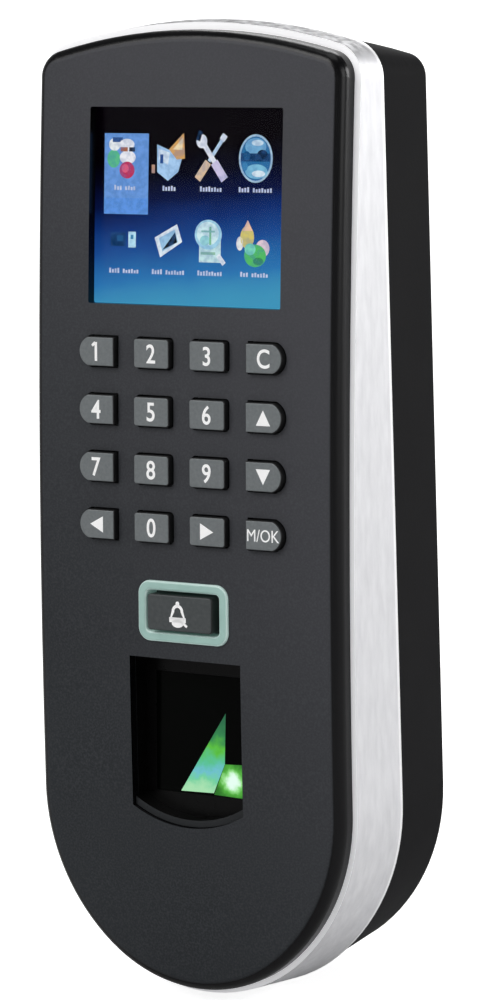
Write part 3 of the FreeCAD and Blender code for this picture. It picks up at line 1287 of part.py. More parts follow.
def make_speaker():
    can_front = "(-well_floor - layer_gap - speaker_depth)"
    can = rod("speaker_can", "0", can_front, "speaker_centre", "speaker_radius", "speaker_depth")
    magnet = rod("speaker_magnet", "0", f"({can_front} - magnet_depth)", "speaker_centre",
                 "magnet_radius", "magnet_depth + speaker_depth / 2")
    keep(fuse("speaker", can, magnet), "speaker")


def make_tamper():
    back = f"(-{BOARD_BACK})"
    well = "(tamper_travel + 2 * tamper_gap)"
    base = box("tamper_base", "(-tamper_side / 2)", back, "tamper_centre - tamper_side / 2",
               "tamper_side", "tamper_body", "tamper_side")
    room = rod("tamper_room", "0", f"({back} + tamper_body - {well})", "tamper_centre",
               "tamper_radius + tamper_gap", f"2 * {well}")
    keep(cut("tamper_switch", base, room), "tamper_switch")
    tip = "(-plate_thick - layer_gap)"
    start = f"({back} + tamper_body - tamper_gap)"
    stem = rod("tamper_stem", "0", start, "tamper_centre", "tamper_radius", f"{tip} - {start}")
    collar = rod("tamper_collar", "0", "(-rear_floor - 2 * tamper_travel)", "tamper_centre",
                 "tamper_radius + 3 * tamper_gap", "tamper_travel")
    keep(fuse("tamper_plunger", stem, collar), "tamper_plunger")


def make_ribbons():
    """Flat cables, each a strip in three runs: along one board, across, and along the other."""
    main_board_front = "(board_front - rear_depth + ribbon_room)"
    left = "(-display_ribbon_across / 2)"
    across = "display_ribbon_across"
    start = f"({face_at('screen_centre')} + {TRAY_BACK} + ribbon_room)"
    reach = f"({mating_at('screen_centre')} - {main_board_front})"
    low = "(screen_centre - display_ribbon_drop)"
    runs = [
        box("display_run_a", left, start, low, across, "ribbon_thick", "display_ribbon_lap"),
        box("display_run_b", left, start, low, across, f"{reach} - {start}", "ribbon_thick"),
        box("display_run_c", left, f"{reach} - ribbon_thick", f"{low} - display_ribbon_tail", across,
            "ribbon_thick", "display_ribbon_tail + ribbon_thick"),
    ]
    place_on_front(keep(fuse("display_ribbon", *runs), "display_ribbon"))

    left = "(-keypad_ribbon_across / 2)"
    across = "keypad_ribbon_across"
    start = f"({PAD_BACK} + pad_board_thick + layer_gap)"
    reach = f"({mating_at(PAD_BOTTOM)} - {main_board_front} - ribbon_room)"
    low = f"({PAD_BOTTOM} + keypad_ribbon_rise)"
    runs = [
        box("keypad_run_a", left, start, low, across, "ribbon_thick", "keypad_ribbon_lap"),
        box("keypad_run_b", left, start, low, across, f"{reach} - {start}", "ribbon_thick"),
        box("keypad_run_c", left, f"{reach} - ribbon_thick", low, across, "ribbon_thick",
            "keypad_ribbon_tail"),
    ]
    place_on_front(keep(fuse("keypad_ribbon", *runs), "keypad_ribbon"))


make_front_cover()
make_mid_frame()
make_rear_cover()
make_wall_plate()
make_case_fixings()
make_display()
make_keys()
make_bell()
make_keypad()
make_sensor_hood()
make_prism()
make_sensor_module()
make_main_board()
make_chips()
make_coin_cell()
make_connectors()
make_speaker()
make_tamper()
make_ribbons()
document.recompute()


# ---------------------------------------------------------------- checks and files

def check_document():
    for item in document.Objects:
        if {"Invalid", "Error"} & set(item.State):
            raise RuntimeError(f"{item.Label} has failed: {item.State}")
    for item in document.Objects:
        if item.TypeId in ("PartDesign::Pocket", "PartDesign::SubtractiveLoft"):
            if item.Shape.Volume > item.BaseFeature.Shape.Volume - 0.01:
                raise RuntimeError(f"{item.Label} cuts nothing")
    for item in nodes:
        if item.Shape.isNull() or not item.Shape.isValid() or not item.Shape.Solids:
            raise RuntimeError(f"{item.Label} is not a valid solid")


check_document()
os.makedirs("parts", exist_ok=True)
for item in nodes:
    item.Shape.exportStep(f"parts/{item.Label}.step")
    print(f"{item.Label}: {len(item.Shape.Solids)} solid(s), {item.Shape.Volume:.1f} mm3")
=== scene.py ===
import json
import math

import bmesh
import bpy
from mathutils import Matrix, Vector


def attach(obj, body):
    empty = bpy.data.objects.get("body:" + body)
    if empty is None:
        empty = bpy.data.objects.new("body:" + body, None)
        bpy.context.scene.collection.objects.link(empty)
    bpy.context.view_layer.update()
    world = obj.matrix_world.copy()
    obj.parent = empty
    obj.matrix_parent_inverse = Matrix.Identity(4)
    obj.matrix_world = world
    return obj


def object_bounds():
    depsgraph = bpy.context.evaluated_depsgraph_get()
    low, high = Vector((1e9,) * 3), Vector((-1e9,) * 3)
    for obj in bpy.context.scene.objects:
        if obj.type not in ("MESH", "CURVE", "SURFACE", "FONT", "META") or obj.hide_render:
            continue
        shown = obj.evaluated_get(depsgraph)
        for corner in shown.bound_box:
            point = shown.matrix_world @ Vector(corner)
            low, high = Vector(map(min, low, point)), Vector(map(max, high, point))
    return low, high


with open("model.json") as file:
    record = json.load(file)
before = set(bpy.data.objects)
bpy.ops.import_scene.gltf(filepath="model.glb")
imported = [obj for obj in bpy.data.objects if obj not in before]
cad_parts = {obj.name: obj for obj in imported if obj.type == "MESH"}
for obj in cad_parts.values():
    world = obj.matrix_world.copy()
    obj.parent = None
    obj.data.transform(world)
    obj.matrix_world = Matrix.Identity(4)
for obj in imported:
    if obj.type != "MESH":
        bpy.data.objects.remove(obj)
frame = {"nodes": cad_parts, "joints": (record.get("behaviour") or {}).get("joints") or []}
cadBox = [list(corner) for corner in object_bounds()]
print("frame loaded with", len(frame["nodes"]), "parts")

mm = 0.001

# The front leans back against the wall. Its own axes share the frame's origin: x runs across,
# y is the way a key is pressed, and z runs up along the face.
press = Vector(frame["joints"][0]["axis"])
lean = math.atan2(-press.z, press.y)
frontTurn = Matrix.Rotation(-lean, 4, "X")


def cornersOf(places):
    # the lowest and the highest corner of the box round some places
    return Vector(map(min, zip(*places))), Vector(map(max, zip(*places)))


def partBox(name, turn=frontTurn):
    # the box of a part, measured along turned axes
    back = turn.inverted()
    return cornersOf([back @ vertex.co for vertex in frame["nodes"][name].data.vertices])


# Shader maths. A Wire is a node socket that can stand in a sum, and add() makes any other node.
class Wire:
    def __init__(self, tree, socket=None):
        self.tree = tree
        self.socket = socket

    def add(self, kind, settings=None, inputs=None, output=0):
        node = self.tree.nodes.new(kind)
        for name, value in (settings or {}).items():
            if name == "stops":
                while len(node.color_ramp.elements) < len(value):
                    node.color_ramp.elements.new(0.5)
                for stop, (position, colour) in zip(node.color_ramp.elements, value):
                    stop.position = position
                    stop.color = colour
            else:
                setattr(node, name, value)
        for name, value in (inputs or {}).items():
            if isinstance(value, Wire):
                self.tree.links.new(value.socket, node.inputs[name])
            else:
                node.inputs[name].default_value = value
        return Wire(self.tree, node.outputs[output] if node.outputs else None)

    def maths(self, operation, first, second=0.0):
        return self.add("ShaderNodeMath", {"operation": operation}, {0: first, 1: second})

    def __add__(self, other):
        return self.maths("ADD", self, other)

    def __sub__(self, other):
        return self.maths("SUBTRACT", self, other)

    def __rsub__(self, other):
        return self.maths("SUBTRACT", other, self)

    def __mul__(self, other):
        return self.maths("MULTIPLY", self, other)

    __radd__ = __add__
    __rmul__ = __mul__


black = (0, 0, 0, 1)
white = (1, 1, 1, 1)
rightward = Vector((1, 0, 0))
backward = Vector((0, 1, 0))
upward = Vector((0, 0, 1))


def tone(red, green, blue):
    # a colour given with each part from 0 to 255, as the linear one that shaders take
    parts = [value / 255 for value in (red, green, blue)]
    linear = [part / 12.92 if part < 0.04045 else ((part + 0.055) / 1.055) ** 2.4 for part in parts]
    return (*linear, 1)


def objectPlace(start):
    return start.add("ShaderNodeTexCoord", output="Object")


def stretched(start, scale):
    # places scaled by its own amount along each axis
    return start.add("ShaderNodeMapping", None, {"Vector": objectPlace(start), "Scale": scale})


def noise(start, scale, detail=2.0, place=None):
    inputs = {"Vector": place or objectPlace(start), "Scale": scale, "Detail": detail}
    return start.add("ShaderNodeTexNoise", None, inputs, "Fac")


def flakes(start, scale, channel):
    # small cells, each with one value of its own
    inputs = {"Vector": objectPlace(start), "Scale": scale}
    cells = start.add("ShaderNodeTexVoronoi", None, inputs, "Color")
    return start.add("ShaderNodeSeparateColor", None, {0: cells}, channel)


def between(value, low, high, toLow=0.0, toHigh=1.0):
    # slides smoothly from one number to another while value goes from low to high
    ends = {"Value": value, "From Min": low, "From Max": high, "To Min": toLow, "To Max": toHigh}
    return value.add("ShaderNodeMapRange", {"interpolation_type": "SMOOTHSTEP"}, ends)


def mixed(mask, first, second):
    return mask.add("ShaderNodeMix", {"data_type": "RGBA"}, {0: mask, 6: first, 7: second}, 2)


def ramp(level, stops):
    return level.add("ShaderNodeValToRGB", {"stops": stops}, {0: level})


def bumped(height, strength, distance):
    # the distance is in millimetres
    inputs = {"Height": height, "Strength": strength, "Distance": distance * mm}
    return height.add("ShaderNodeBump", None, inputs)


def along(vector, direction):
    # how far a vector reaches in a direction
    inputs = {0: vector, 1: direction}
    return vector.add("ShaderNodeVectorMath", {"operation": "DOT_PRODUCT"}, inputs, "Value")


def facing(start, direction):
    # 1 where the surface looks in a direction, 0 side on, -1 away
    return along(start.add("ShaderNodeNewGeometry", output="Normal"), direction)


def principled(start, **inputs):
    return start.add("ShaderNodeBsdfPrincipled", None, inputs)


def lit(start, colour, strength, rough):
    # a black surface that only gives light
    return principled(start, **{
        "Base Color": black, "Roughness": rough, "Specular IOR Level": 0.0,
        "Emission Color": colour, "Emission Strength": strength})


def makeMaterial(recipe):
    material = bpy.data.materials.new(recipe.__name__)
    material.use_nodes = True
    material.node_tree.nodes.clear()
    start = Wire(material.node_tree)
    start.add("ShaderNodeOutputMaterial", None, {"Surface": recipe(start)})
    return material


def paint(recipe, *names):
    # one new material for some parts
    material = makeMaterial(recipe)
    for name in names:
        skin = frame["nodes"][name].data.materials
        skin.clear()
        skin.append(material)


def placed(name, data):
    # a new object at the origin, linked to the scene
    made = bpy.data.objects.new(name, data)
    bpy.context.scene.collection.objects.link(made)
    return made


smoothUnder = math.radians(35)


def newPiece(name, shape, body, material, turn=frontTurn):
    # turns a bmesh into a finished piece; its place is in its mesh
    bmesh.ops.remove_doubles(shape, verts=shape.verts, dist=0.0005 * mm)
    bmesh.ops.recalc_face_normals(shape, faces=shape.faces)
    bmesh.ops.transform(shape, matrix=turn, verts=shape.verts)
    mesh = bpy.data.meshes.new(name)
    shape.to_mesh(mesh)
    shape.free()
    mesh.shade_smooth()
    mesh.set_sharp_from_angle(angle=smoothUnder)
    mesh.materials.append(material)
    piece = placed(name, mesh)
    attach(piece, body)


# Flat shapes for the thin pieces. They lie in the xz plane of a place, with their thickness along
# y, and their sizes are in millimetres. Each gives back its faces.

def facesOf(vertices):
    return {face for vertex in vertices for face in vertex.link_faces}


def slab(shape, place, across, thick, tall):
    size = Matrix.Diagonal((across * mm, thick * mm, tall * mm, 1))
    return facesOf(bmesh.ops.create_cube(shape, size=1, matrix=place @ size)["verts"])


def disc(shape, place, across, thick, tall, segments=32):
    size = Matrix.Diagonal((across * mm, tall * mm, thick * mm, 1))
    flat = place @ Matrix.Rotation(math.pi / 2, 4, "X") @ size
    made = bmesh.ops.create_cone(shape, cap_ends=True, segments=segments, radius1=0.5, radius2=0.5,
                                 depth=1, matrix=flat)
    return facesOf(made["verts"])


def thickened(shape, faces, thick):
    # gives flat faces their thickness and returns the new corners
    grown = bmesh.ops.extrude_face_region(shape, geom=faces)["geom"]
    moved = [item for item in grown if isinstance(item, bmesh.types.BMVert)]
    bmesh.ops.translate(shape, verts=moved, vec=(0, thick * mm, 0))
    return moved


def cutOut(shape, corners, front, thick):
    # a polygon from its corners; front is where its front lies along y
    flat = shape.faces.new([shape.verts.new((x * mm, front * mm, z * mm)) for x, z in corners])
    moved = thickened(shape, [flat], thick)
    return facesOf([*moved, *flat.verts])


# Plastics of the case

def coverPlastic(start):
    # satin charcoal face with a fine spark grain and painted light, lighter towards the top and
    # right, and a polished black rim and skirt
    rim = 1 - between(facing(start, -press), 0.93, 0.985)
    grain = noise(start, 2600, 3)
    cloud = noise(start, 45)
    place = objectPlace(start)
    # painted light: the face is painted lighter towards the top and the right, where the lamps fall
    # on it
    paintedLightFade = between(along(place, upward) + along(place, rightward) * 1.3, -0.09, 0.1)
    face = mixed(paintedLightFade, tone(32, 35, 39), tone(66, 66, 71))
    face = mixed(cloud * 0.25, face, tone(46, 53, 55))
    face = mixed(between(grain, 0.35, 0.75, 0, 0.22), face, tone(84, 86, 90))
    rough = (1 - rim) * (0.4 + 0.16 * grain) + rim * (0.2 + 0.1 * cloud)
    return principled(start, **{
        "Base Color": mixed(rim, face, tone(6, 6, 8)), "Roughness": rough,
        "Specular IOR Level": 0.24, "Normal": bumped(grain * (1 - rim), 0.35, 0.03)})


band = {
    "rimStart": 0.85,    # mm from the back, where the polished rear edge, painted near white as a highlight, sets in
    "rimFull": 0.65,
    "ledgeHighlightGlow": 0.26,   # painted highlight: light added to the narrow ledge in front
}
bandBack = partBox("mid_frame", Matrix())[1].y


def silverBand(start):
    # brushed silver with fine flakes, with painted shade mottled along the top, and polished front
    # and rear edges that carry near-white painted highlights
    spark = flakes(start, 2400, "Red")
    mottle = noise(start, 620, 4, stretched(start, (1, 1, 0.25)))
    # painted shade: faces that look upward are painted darker grey, in mottled patches
    top = between(facing(start, upward), 0.45, 0.9)
    # painted highlight: the narrow ledge in front is painted near white and given a glow
    ledgeHighlight = between(facing(start, -press), 0.6, 0.95)
    depth = along(objectPlace(start), backward)
    # painted highlight: the polished rear edge is painted near white
    rim = between(depth, bandBack - band["rimStart"] * mm, bandBack - band["rimFull"] * mm)
    colour = mixed(mottle, tone(206, 206, 209), tone(238, 238, 240))
    colour = mixed(top * between(mottle, 0.3, 0.7, 0.35, 1), colour, tone(98, 98, 100))
    colour = mixed(ledgeHighlight, colour, tone(253, 253, 254))
    colour = mixed(rim, colour, tone(252, 252, 253))
    relief = (spark * 0.6 + mottle * 0.4) * (1 - rim)
    return principled(start, **{
        "Base Color": colour, "Metallic": 0.3 * (1 - ledgeHighlight),
        "Roughness": 0.36 + 0.14 * spark * (1 - rim),
        "Emission Color": mixed(ledgeHighlight, black, tone(248, 248, 252)),
        "Emission Strength": band["ledgeHighlightGlow"], "Normal": bumped(relief, 0.16, 0.02)})


def housingPlastic(start):
    # black moulded plastic with a spark-eroded texture
    grain = noise(start, 1900, 3)
    cloud = noise(start, 30)
    return principled(start, **{
        "Base Color": mixed(between(grain, 0.3, 0.8), tone(9, 9, 10), tone(21, 21, 23)),
        "Roughness": 0.46 + 0.12 * cloud + 0.12 * grain, "Specular IOR Level": 0.06,
        "Normal": bumped(grain, 0.45, 0.03)})


def capTop(start):
    # 1 on the crowned top of a key, 0 on its sides, which carry painted shade
    return between(facing(start, -press), 0.6, 0.93)


def keyPlastic(start):
    # grey tops, and dark sides that are painted shade
    grain = noise(start, 1800, 3)
    tint = mixed(grain, tone(92, 98, 100), tone(120, 125, 127))
    return principled(start, **{
        "Base Color": mixed(capTop(start), tone(16, 16, 17), tint),
        "Roughness": 0.4 + 0.2 * grain, "Normal": bumped(grain, 0.4, 0.02)})


def buttonPlastic(start):
    # the same in a darker grey, with painted shade on the sides
    grain = noise(start, 1500, 4)
    tint = mixed(grain, tone(44, 49, 51), tone(74, 79, 80))
    return principled(start, **{
        "Base Color": mixed(capTop(start), tone(12, 12, 13), tint),
        "Roughness": 0.42 + 0.15 * grain, "Normal": bumped(grain, 0.35, 0.02)})


def lightGuide(start):
    # milky plastic lit from below, brighter at its two ends, with painted light on its rounded
    # sides
    cloud = noise(start, 260, 3)
    across = along(objectPlace(start), rightward)
    ends = between(start.maths("ABSOLUTE", across), 3 * mm, 9 * mm)
    flat = between(facing(start, -press), 0.75, 0.98)
    # painted light: the rounded sides are painted paler than the face, as a brighter glow round the
    # edges
    edge = mixed(cloud, tone(196, 222, 216), tone(222, 240, 236))
    face = mixed(cloud, tone(140, 172, 166), tone(168, 198, 190))
    return principled(start, **{
        "Base Color": mixed(flat, edge, face), "Roughness": 0.3 + 0.1 * cloud,
        "Emission Color": mixed(ends, tone(116, 170, 156), tone(140, 184, 174)),
        "Emission Strength": 0.14})


def printedWhite(start):
    # opaque ink, a little uneven, with a faint painted glow
    cloud = noise(start, 1500, 3)
    return principled(start, **{
        "Base Color": mixed(cloud, tone(232, 232, 232), tone(252, 252, 252)),
        "Emission Color": white, "Emission Strength": 0.12, "Roughness": 0.45 + 0.15 * cloud})


hood = {
    "lipBack": 1.4,      # mm, from the hood's foremost point to behind its lip
    "lipHighlightFade": 0.5,      # mm, over which the lip's painted highlight ends
}
hoodFront = partBox("sensor_hood")[0].y


def hoodPlastic(start):
    # black and polished, with a painted highlight: the finger lip is painted lighter grey where it
    # would catch the light
    grain = noise(start, 900, 3)
    depth = along(objectPlace(start), press)
    lipBack = hoodFront + hood["lipBack"] * mm
    behind = between(depth, lipBack, lipBack + hood["lipHighlightFade"] * mm)
    # painted highlight on the forward face of the lip
    lipHighlight = between(facing(start, -press), 0.5, 0.9) * (1 - behind)
    colour = mixed(grain, tone(3, 3, 3), tone(8, 8, 8))
    return principled(start, **{
        "Base Color": mixed(lipHighlight, colour, tone(44, 46, 48)), "Roughness": 0.24 + 0.1 * grain,
        "Specular IOR Level": 0.12, "Normal": bumped(grain, 0.1, 0.01)})


def prismGlass(start):
    # dark filter glass with faint wipe marks
    smear = noise(start, 120, 4)
    return principled(start, **{
        "Base Color": mixed(smear, tone(1, 2, 1), tone(3, 4, 3)),
        "Roughness": 0.06 + 0.1 * smear, "Specular IOR Level": 0.04})


def windowGlass(start):
    # clear window: see-through, with a weak mirror on it
    share = 0.002 + 0.004 * noise(start, 500, 4)
    clear = start.add("ShaderNodeBsdfTransparent", None, {"Color": (0.97, 0.98, 1, 1)})
    mirror = start.add("ShaderNodeBsdfGlossy", None, {"Color": white, "Roughness": 0.08})
    return start.add("ShaderNodeMixShader", None, {0: share, 1: clear, 2: mirror})


keyNames = [joint["child"] for joint in frame["joints"] if joint["child"].startswith("key_")]
whiteLook = makeMaterial(printedWhite)
paint(coverPlastic, "front_cover")
paint(silverBand, "mid_frame")
paint(housingPlastic, "rear_cover")
paint(keyPlastic, *keyNames)
paint(buttonPlastic, "bell_button")
paint(lightGuide, "light_ring")
paint(hoodPlastic, "sensor_hood")
paint(prismGlass, "sensor_prism")
paint(windowGlass, "display_lens")
print("case painted")


# Metals, boards and the parts on them

def plateSteel(start):
    # zinc-plated sheet: crystals in patches over a fine rolling grain
    crystal = flakes(start, 900, "Green")
    grain = noise(start, 1, 3, stretched(start, (60, 60, 3000)))
    return principled(start, **{
        "Base Color": mixed(crystal, tone(166, 168, 171), tone(184, 186, 189)), "Metallic": 0.95,
        "Roughness": 0.28 + 0.07 * crystal + 0.12 * grain, "Normal": bumped(grain, 0.2, 0.01)})


def screwSteel(start):
    scratch = noise(start, 1400, 4)
    return principled(start, **{
        "Base Color": mixed(scratch, tone(120, 121, 124), tone(176, 177, 180)), "Metallic": 1.0,
        "Roughness": 0.22 + 0.2 * scratch, "Normal": bumped(scratch, 0.15, 0.01)})


def boardGreen(start):
    # solder mask over copper runs
    turned = start.add("ShaderNodeMapping", None,
                       {"Vector": objectPlace(start), "Rotation": (math.pi / 2, 0, 0)})
    lines = start.add("ShaderNodeTexBrick", None, {
        "Vector": turned, "Scale": 260.0, "Mortar Size": 0.035, "Brick Width": 3.6,
        "Row Height": 0.2}, "Fac")
    wave = noise(start, 160, 3)
    runs = lines * between(wave, 0.45, 0.55)
    return principled(start, **{
        "Base Color": mixed(runs, tone(16, 70, 40), tone(40, 116, 70)),
        "Roughness": 0.24 + 0.12 * wave, "Normal": bumped(runs, 0.4, 0.03)})


def chipBlack(start):
    grain = noise(start, 2200, 3)
    return principled(start, **{
        "Base Color": mixed(grain, tone(22, 22, 24), tone(44, 44, 47)),
        "Roughness": 0.5 + 0.2 * grain, "Normal": bumped(grain, 0.3, 0.01)})


def greenNylon(start):
    cloud = noise(start, 350, 3)
    return principled(start, **{
        "Base Color": mixed(cloud, tone(22, 116, 66), tone(40, 142, 84)),
        "Roughness": 0.35 + 0.15 * cloud, "Normal": bumped(cloud, 0.1, 0.02)})


def relayBlue(start):
    cloud = noise(start, 500, 3)
    return principled(start, **{
        "Base Color": mixed(cloud, tone(18, 44, 92), tone(26, 60, 120)),
        "Roughness": 0.3 + 0.15 * cloud})


def siliconeGrey(start):
    cloud = noise(start, 700, 3)
    return principled(start, **{
        "Base Color": mixed(cloud, tone(56, 57, 60), tone(78, 79, 82)),
        "Roughness": 0.6 + 0.2 * cloud})


def polyimide(start):
    # amber film with wires side by side
    across = along(objectPlace(start), rightward)
    wires = between(start.maths("SINE", across * 6000), -0.3, 0.3)
    return principled(start, **{
        "Base Color": mixed(wires, tone(120, 62, 14), tone(176, 104, 34)),
        "Roughness": 0.2 + 0.15 * wires})


def lampLens(start):
    cloud = noise(start, 900, 2)
    return principled(start, **{
        "Base Color": mixed(cloud, tone(180, 220, 200), tone(230, 246, 238)),
        "Emission Color": tone(120, 230, 160), "Emission Strength": 0.6,
        "Roughness": 0.2 + 0.2 * cloud})


paint(plateSteel, "wall_plate", "display_tray", "coin_cell")
paint(screwSteel, "case_screws", "lock_screw", "keypad_screws", "sensor_screws", "board_screws")
paint(boardGreen, "main_board", "keypad_board", "sensor_board")
paint(chipBlack, "processor", "memory_chips", "network_chip", "speaker", "tamper_switch",
      "cell_holder", "sensor_lens", "sensor_housing", "network_jack")
paint(greenNylon, "wiring_headers")
paint(relayBlue, "relay")
paint(siliconeGrey, "keypad_mat", "tamper_plunger", "display_backlight")
paint(polyimide, "display_ribbon", "keypad_ribbon")
paint(lampLens, "ring_leds", "sensor_leds")
print("inside painted")


# Pins in the wiring headers

pins = {
    "rows": 3,
    "count": 4,          # in each row
    "pitch": 2.9,        # mm, as all below
    "across": 0.64,
    "long": 4.6,
    "edge": 0.12,        # bevel
    "headerTall": 6.0,
    "floor": 0.8,        # from the header's back to the pins
}


def tinned(start):
    haze = noise(start, 1600, 3)
    return principled(start, **{
        "Base Color": mixed(haze, tone(196, 186, 150), tone(226, 220, 196)), "Metallic": 1.0,
        "Roughness": 0.2 + 0.2 * haze})


def makePins():
    low, high = partBox("wiring_headers", Matrix())
    middle = (low.x + high.x) / 2
    depth = low.y + (pins["floor"] + pins["long"] / 2) * mm
    top = high.z - pins["headerTall"] * mm / 2
    step = (high.z - low.z - pins["headerTall"] * mm) / (pins["rows"] - 1)
    shape = bmesh.new()
    for row in range(pins["rows"]):
        for k in range(pins["count"]):
            aside = (k - (pins["count"] - 1) / 2) * pins["pitch"] * mm
            place = Matrix.Translation((middle + aside, depth, top - row * step))
            slab(shape, place, pins["across"], pins["long"], pins["across"])
    bmesh.ops.bevel(shape, geom=list(shape.edges), offset=pins["edge"] * mm, segments=1,
                    profile=0.5, affect="EDGES", material=-1)
    newPiece("headerPins", shape, "housing", makeMaterial(tinned), Matrix())


makePins()
print("headers pinned")


# The picture on the display. It is drawn with thin plates just in front of the panel.

screenFace = max(frame["nodes"]["display_panel"].data.polygons, key=lambda polygon: polygon.area)
screenNormal = screenFace.normal if screenFace.normal.y < 0 else -screenFace.normal
screenTurn = Matrix.Rotation(-math.atan2(screenNormal.z, -screenNormal.y), 4, "X")
panelLow, panelHigh = partBox("display_panel", screenTurn)
panelMiddle = (panelLow + panelHigh) / 2
# the middle of the panel's front face, with x across, y into the panel and z up the picture
onScreen = screenTurn @ Matrix.Translation((panelMiddle.x, panelLow.y, panelMiddle.z))

picture = {
    "layer": 0.02,       # mm, one sheet of the picture in front of the next
    "tile": (-14.9, 6.0, 10.0, 15.25),   # the chosen entry: middle x and z, across, tall
    "tileColour": (112, 160, 226),
    "tileFoot": (100, 156, 232),
    "columns": (-15.2, -5.2, 4.1, 13.9),
    "rows": (9.2, -6.4),
    "labelRows": (3.4, -12.3),
    "labels": (          # for each row: how wide, and which stroke is left out between words
        ((5.4, 3), (3.6, None), (5.0, None), (7.6, 4)),
        ((7.2, 4), (7.6, 4), (5.8, None), (6.8, 3)),
    ),
    "labelTall": 0.95,
    "labelColour": (206, 214, 236),
    "strokeStep": 0.62,
    "strokeAcross": 0.4,
}


def ink(shape, faces, colour):
    layers = shape.loops.layers.float_color
    layer = layers.get("ink") or layers.new("ink")
    for face in faces:
        for loop in face.loops:
            loop[layer] = tone(*colour)


def onSheet(x, z, layer, turn=0.0):
    # a place on one sheet of the picture, in millimetres from its middle
    depth = -(layer + 0.5) * picture["layer"]
    return Matrix.Translation(Vector((x, depth, z)) * mm) @ Matrix.Rotation(turn, 4, "Y")


def bar(shape, x, z, across, tall, colour, layer=2, turn=0.0):
    place = onSheet(x, z, layer, turn)
    ink(shape, slab(shape, place, across, picture["layer"], tall), colour)


def oval(shape, x, z, across, tall, colour, layer=2):
    ink(shape, disc(shape, onSheet(x, z, layer), across, picture["layer"], tall), colour)


def patch(shape, corners, colour, layer=2):
    front = -(layer + 1) * picture["layer"]
    ink(shape, cutOut(shape, corners, front, picture["layer"]), colour)


def drawPeople(shape, x, z):
    oval(shape, x - 2.4, z + 2.3, 2.6, 2.4, (244, 246, 244))
    bar(shape, x - 1.7, z + 3.2, 2.3, 0.9, (52, 84, 140), 3)
    oval(shape, x - 2.6, z - 0.4, 2.9, 3.4, (96, 196, 140))
    oval(shape, x + 0.4, z + 2.3, 3.4, 2.2, (248, 248, 250), 4)
    bar(shape, x - 0.2, z + 1.4, 1.6, 0.8, (172, 106, 78), 5)
    bar(shape, x + 1.6, z + 1.4, 1.3, 0.8, (40, 44, 56), 5)
    oval(shape, x + 0.6, z - 0.1, 3.6, 2.6, (250, 248, 250), 4)
    oval(shape, x + 0.5, z - 2.5, 3.4, 3.2, (196, 54, 92), 5)
    oval(shape, x + 0.1, z - 2.2, 1.6, 1.6, (226, 96, 128), 6)


def drawFolder(shape, x, z):
    patch(shape, [(x - 2.8, z + 2.4), (x - 2.7, z - 2.8), (x - 0.3, z - 4.4), (x + 2.0, z - 2.7),
                  (x + 2.9, z + 0.1), (x + 0.2, z + 1.3)], (178, 214, 246))
    patch(shape, [(x - 2.5, z + 1.6), (x - 2.4, z - 0.4), (x - 0.3, z - 1.4), (x + 0.1, z + 0.9)],
          (226, 240, 250), 3)
    patch(shape, [(x - 0.1, z + 1.5), (x + 3.2, z + 4.6), (x + 3.5, z - 0.2), (x + 1.7, z - 0.4)],
          (222, 168, 96), 4)
    patch(shape, [(x + 0.8, z + 1.5), (x + 3.0, z + 3.7), (x + 2.9, z + 1.4)], (250, 226, 178), 5)
    bar(shape, x - 1.7, z - 0.3, 0.7, 1.7, (38, 76, 140), 4)
    bar(shape, x - 3.6, z - 2.2, 0.7, 1.6, (214, 160, 112))


def drawTools(shape, x, z):
    tilt = math.radians(36)
    bar(shape, x - 0.5, z + 1.0, 1.0, 5.2, (236, 238, 244), 4, -tilt)
    oval(shape, x - 2.1, z + 3.1, 2.4, 2.6, (240, 242, 246), 4)
    bar(shape, x - 2.6, z + 4.1, 0.9, 1.9, (4, 4, 16), 5, tilt / 2)
    bar(shape, x + 1.9, z - 2.4, 1.7, 4.0, (214, 204, 232), 5, -tilt)
    bar(shape, x + 1.0, z + 1.4, 0.7, 5.0, (196, 220, 240), 3, tilt)
    bar(shape, x + 2.7, z + 3.8, 1.2, 1.3, (236, 240, 246), 3, tilt)
    bar(shape, x - 1.8, z - 2.4, 1.5, 4.0, (228, 196, 160), 3, tilt)


def drawGlobe(shape, x, z):
    oval(shape, x, z, 7.4, 9.0, (176, 204, 222))
    oval(shape, x, z, 6.6, 8.2, (42, 112, 160), 3)
    oval(shape, x, z + 2.2, 4.6, 3.2, (120, 178, 214), 4)
    oval(shape, x + 0.4, z + 2.9, 2.6, 1.1, (206, 228, 240), 5)
    bar(shape, x, z + 0.2, 6.4, 1.5, (14, 52, 92), 5)
    oval(shape, x + 1.5, z + 0.8, 2.2, 1.7, (8, 34, 66), 6)
    oval(shape, x - 1.9, z + 0.5, 1.5, 1.7, (26, 82, 128), 6)
    oval(shape, x + 0.2, z - 2.4, 4.9, 2.7, (130, 196, 222), 4)
    oval(shape, x + 0.7, z - 2.8, 2.9, 1.2, (226, 242, 248), 5)
    oval(shape, x - 2.3, z - 1.5, 1.2, 1.6, (64, 138, 184), 5)


def drawStick(shape, x, z):
    bar(shape, x - 1.4, z, 3.4, 2.6, (12, 52, 96))
    bar(shape, x - 0.9, z + 0.2, 1.4, 1.1, (24, 84, 132), 3)
    bar(shape, x + 1.8, z, 1.7, 3.0, (196, 238, 250))
    bar(shape, x + 1.8, z + 0.5, 0.6, 0.8, (60, 140, 180), 3)


def drawPhoto(shape, x, z):
    patch(shape, [(x - 3.1, z + 0.5), (x + 1.9, z + 3.1), (x + 3.1, z - 0.2), (x - 1.8, z - 3.2)],
          (236, 246, 250))
    patch(shape, [(x - 2.1, z + 0.4), (x + 1.4, z + 2.1), (x + 2.2, z - 0.2), (x - 1.3, z - 2.1)],
          (166, 208, 234), 3)
    patch(shape, [(x - 1.3, z - 1.8), (x + 1.5, z + 1.6), (x + 2.0, z - 0.3)], (14, 22, 30), 4)


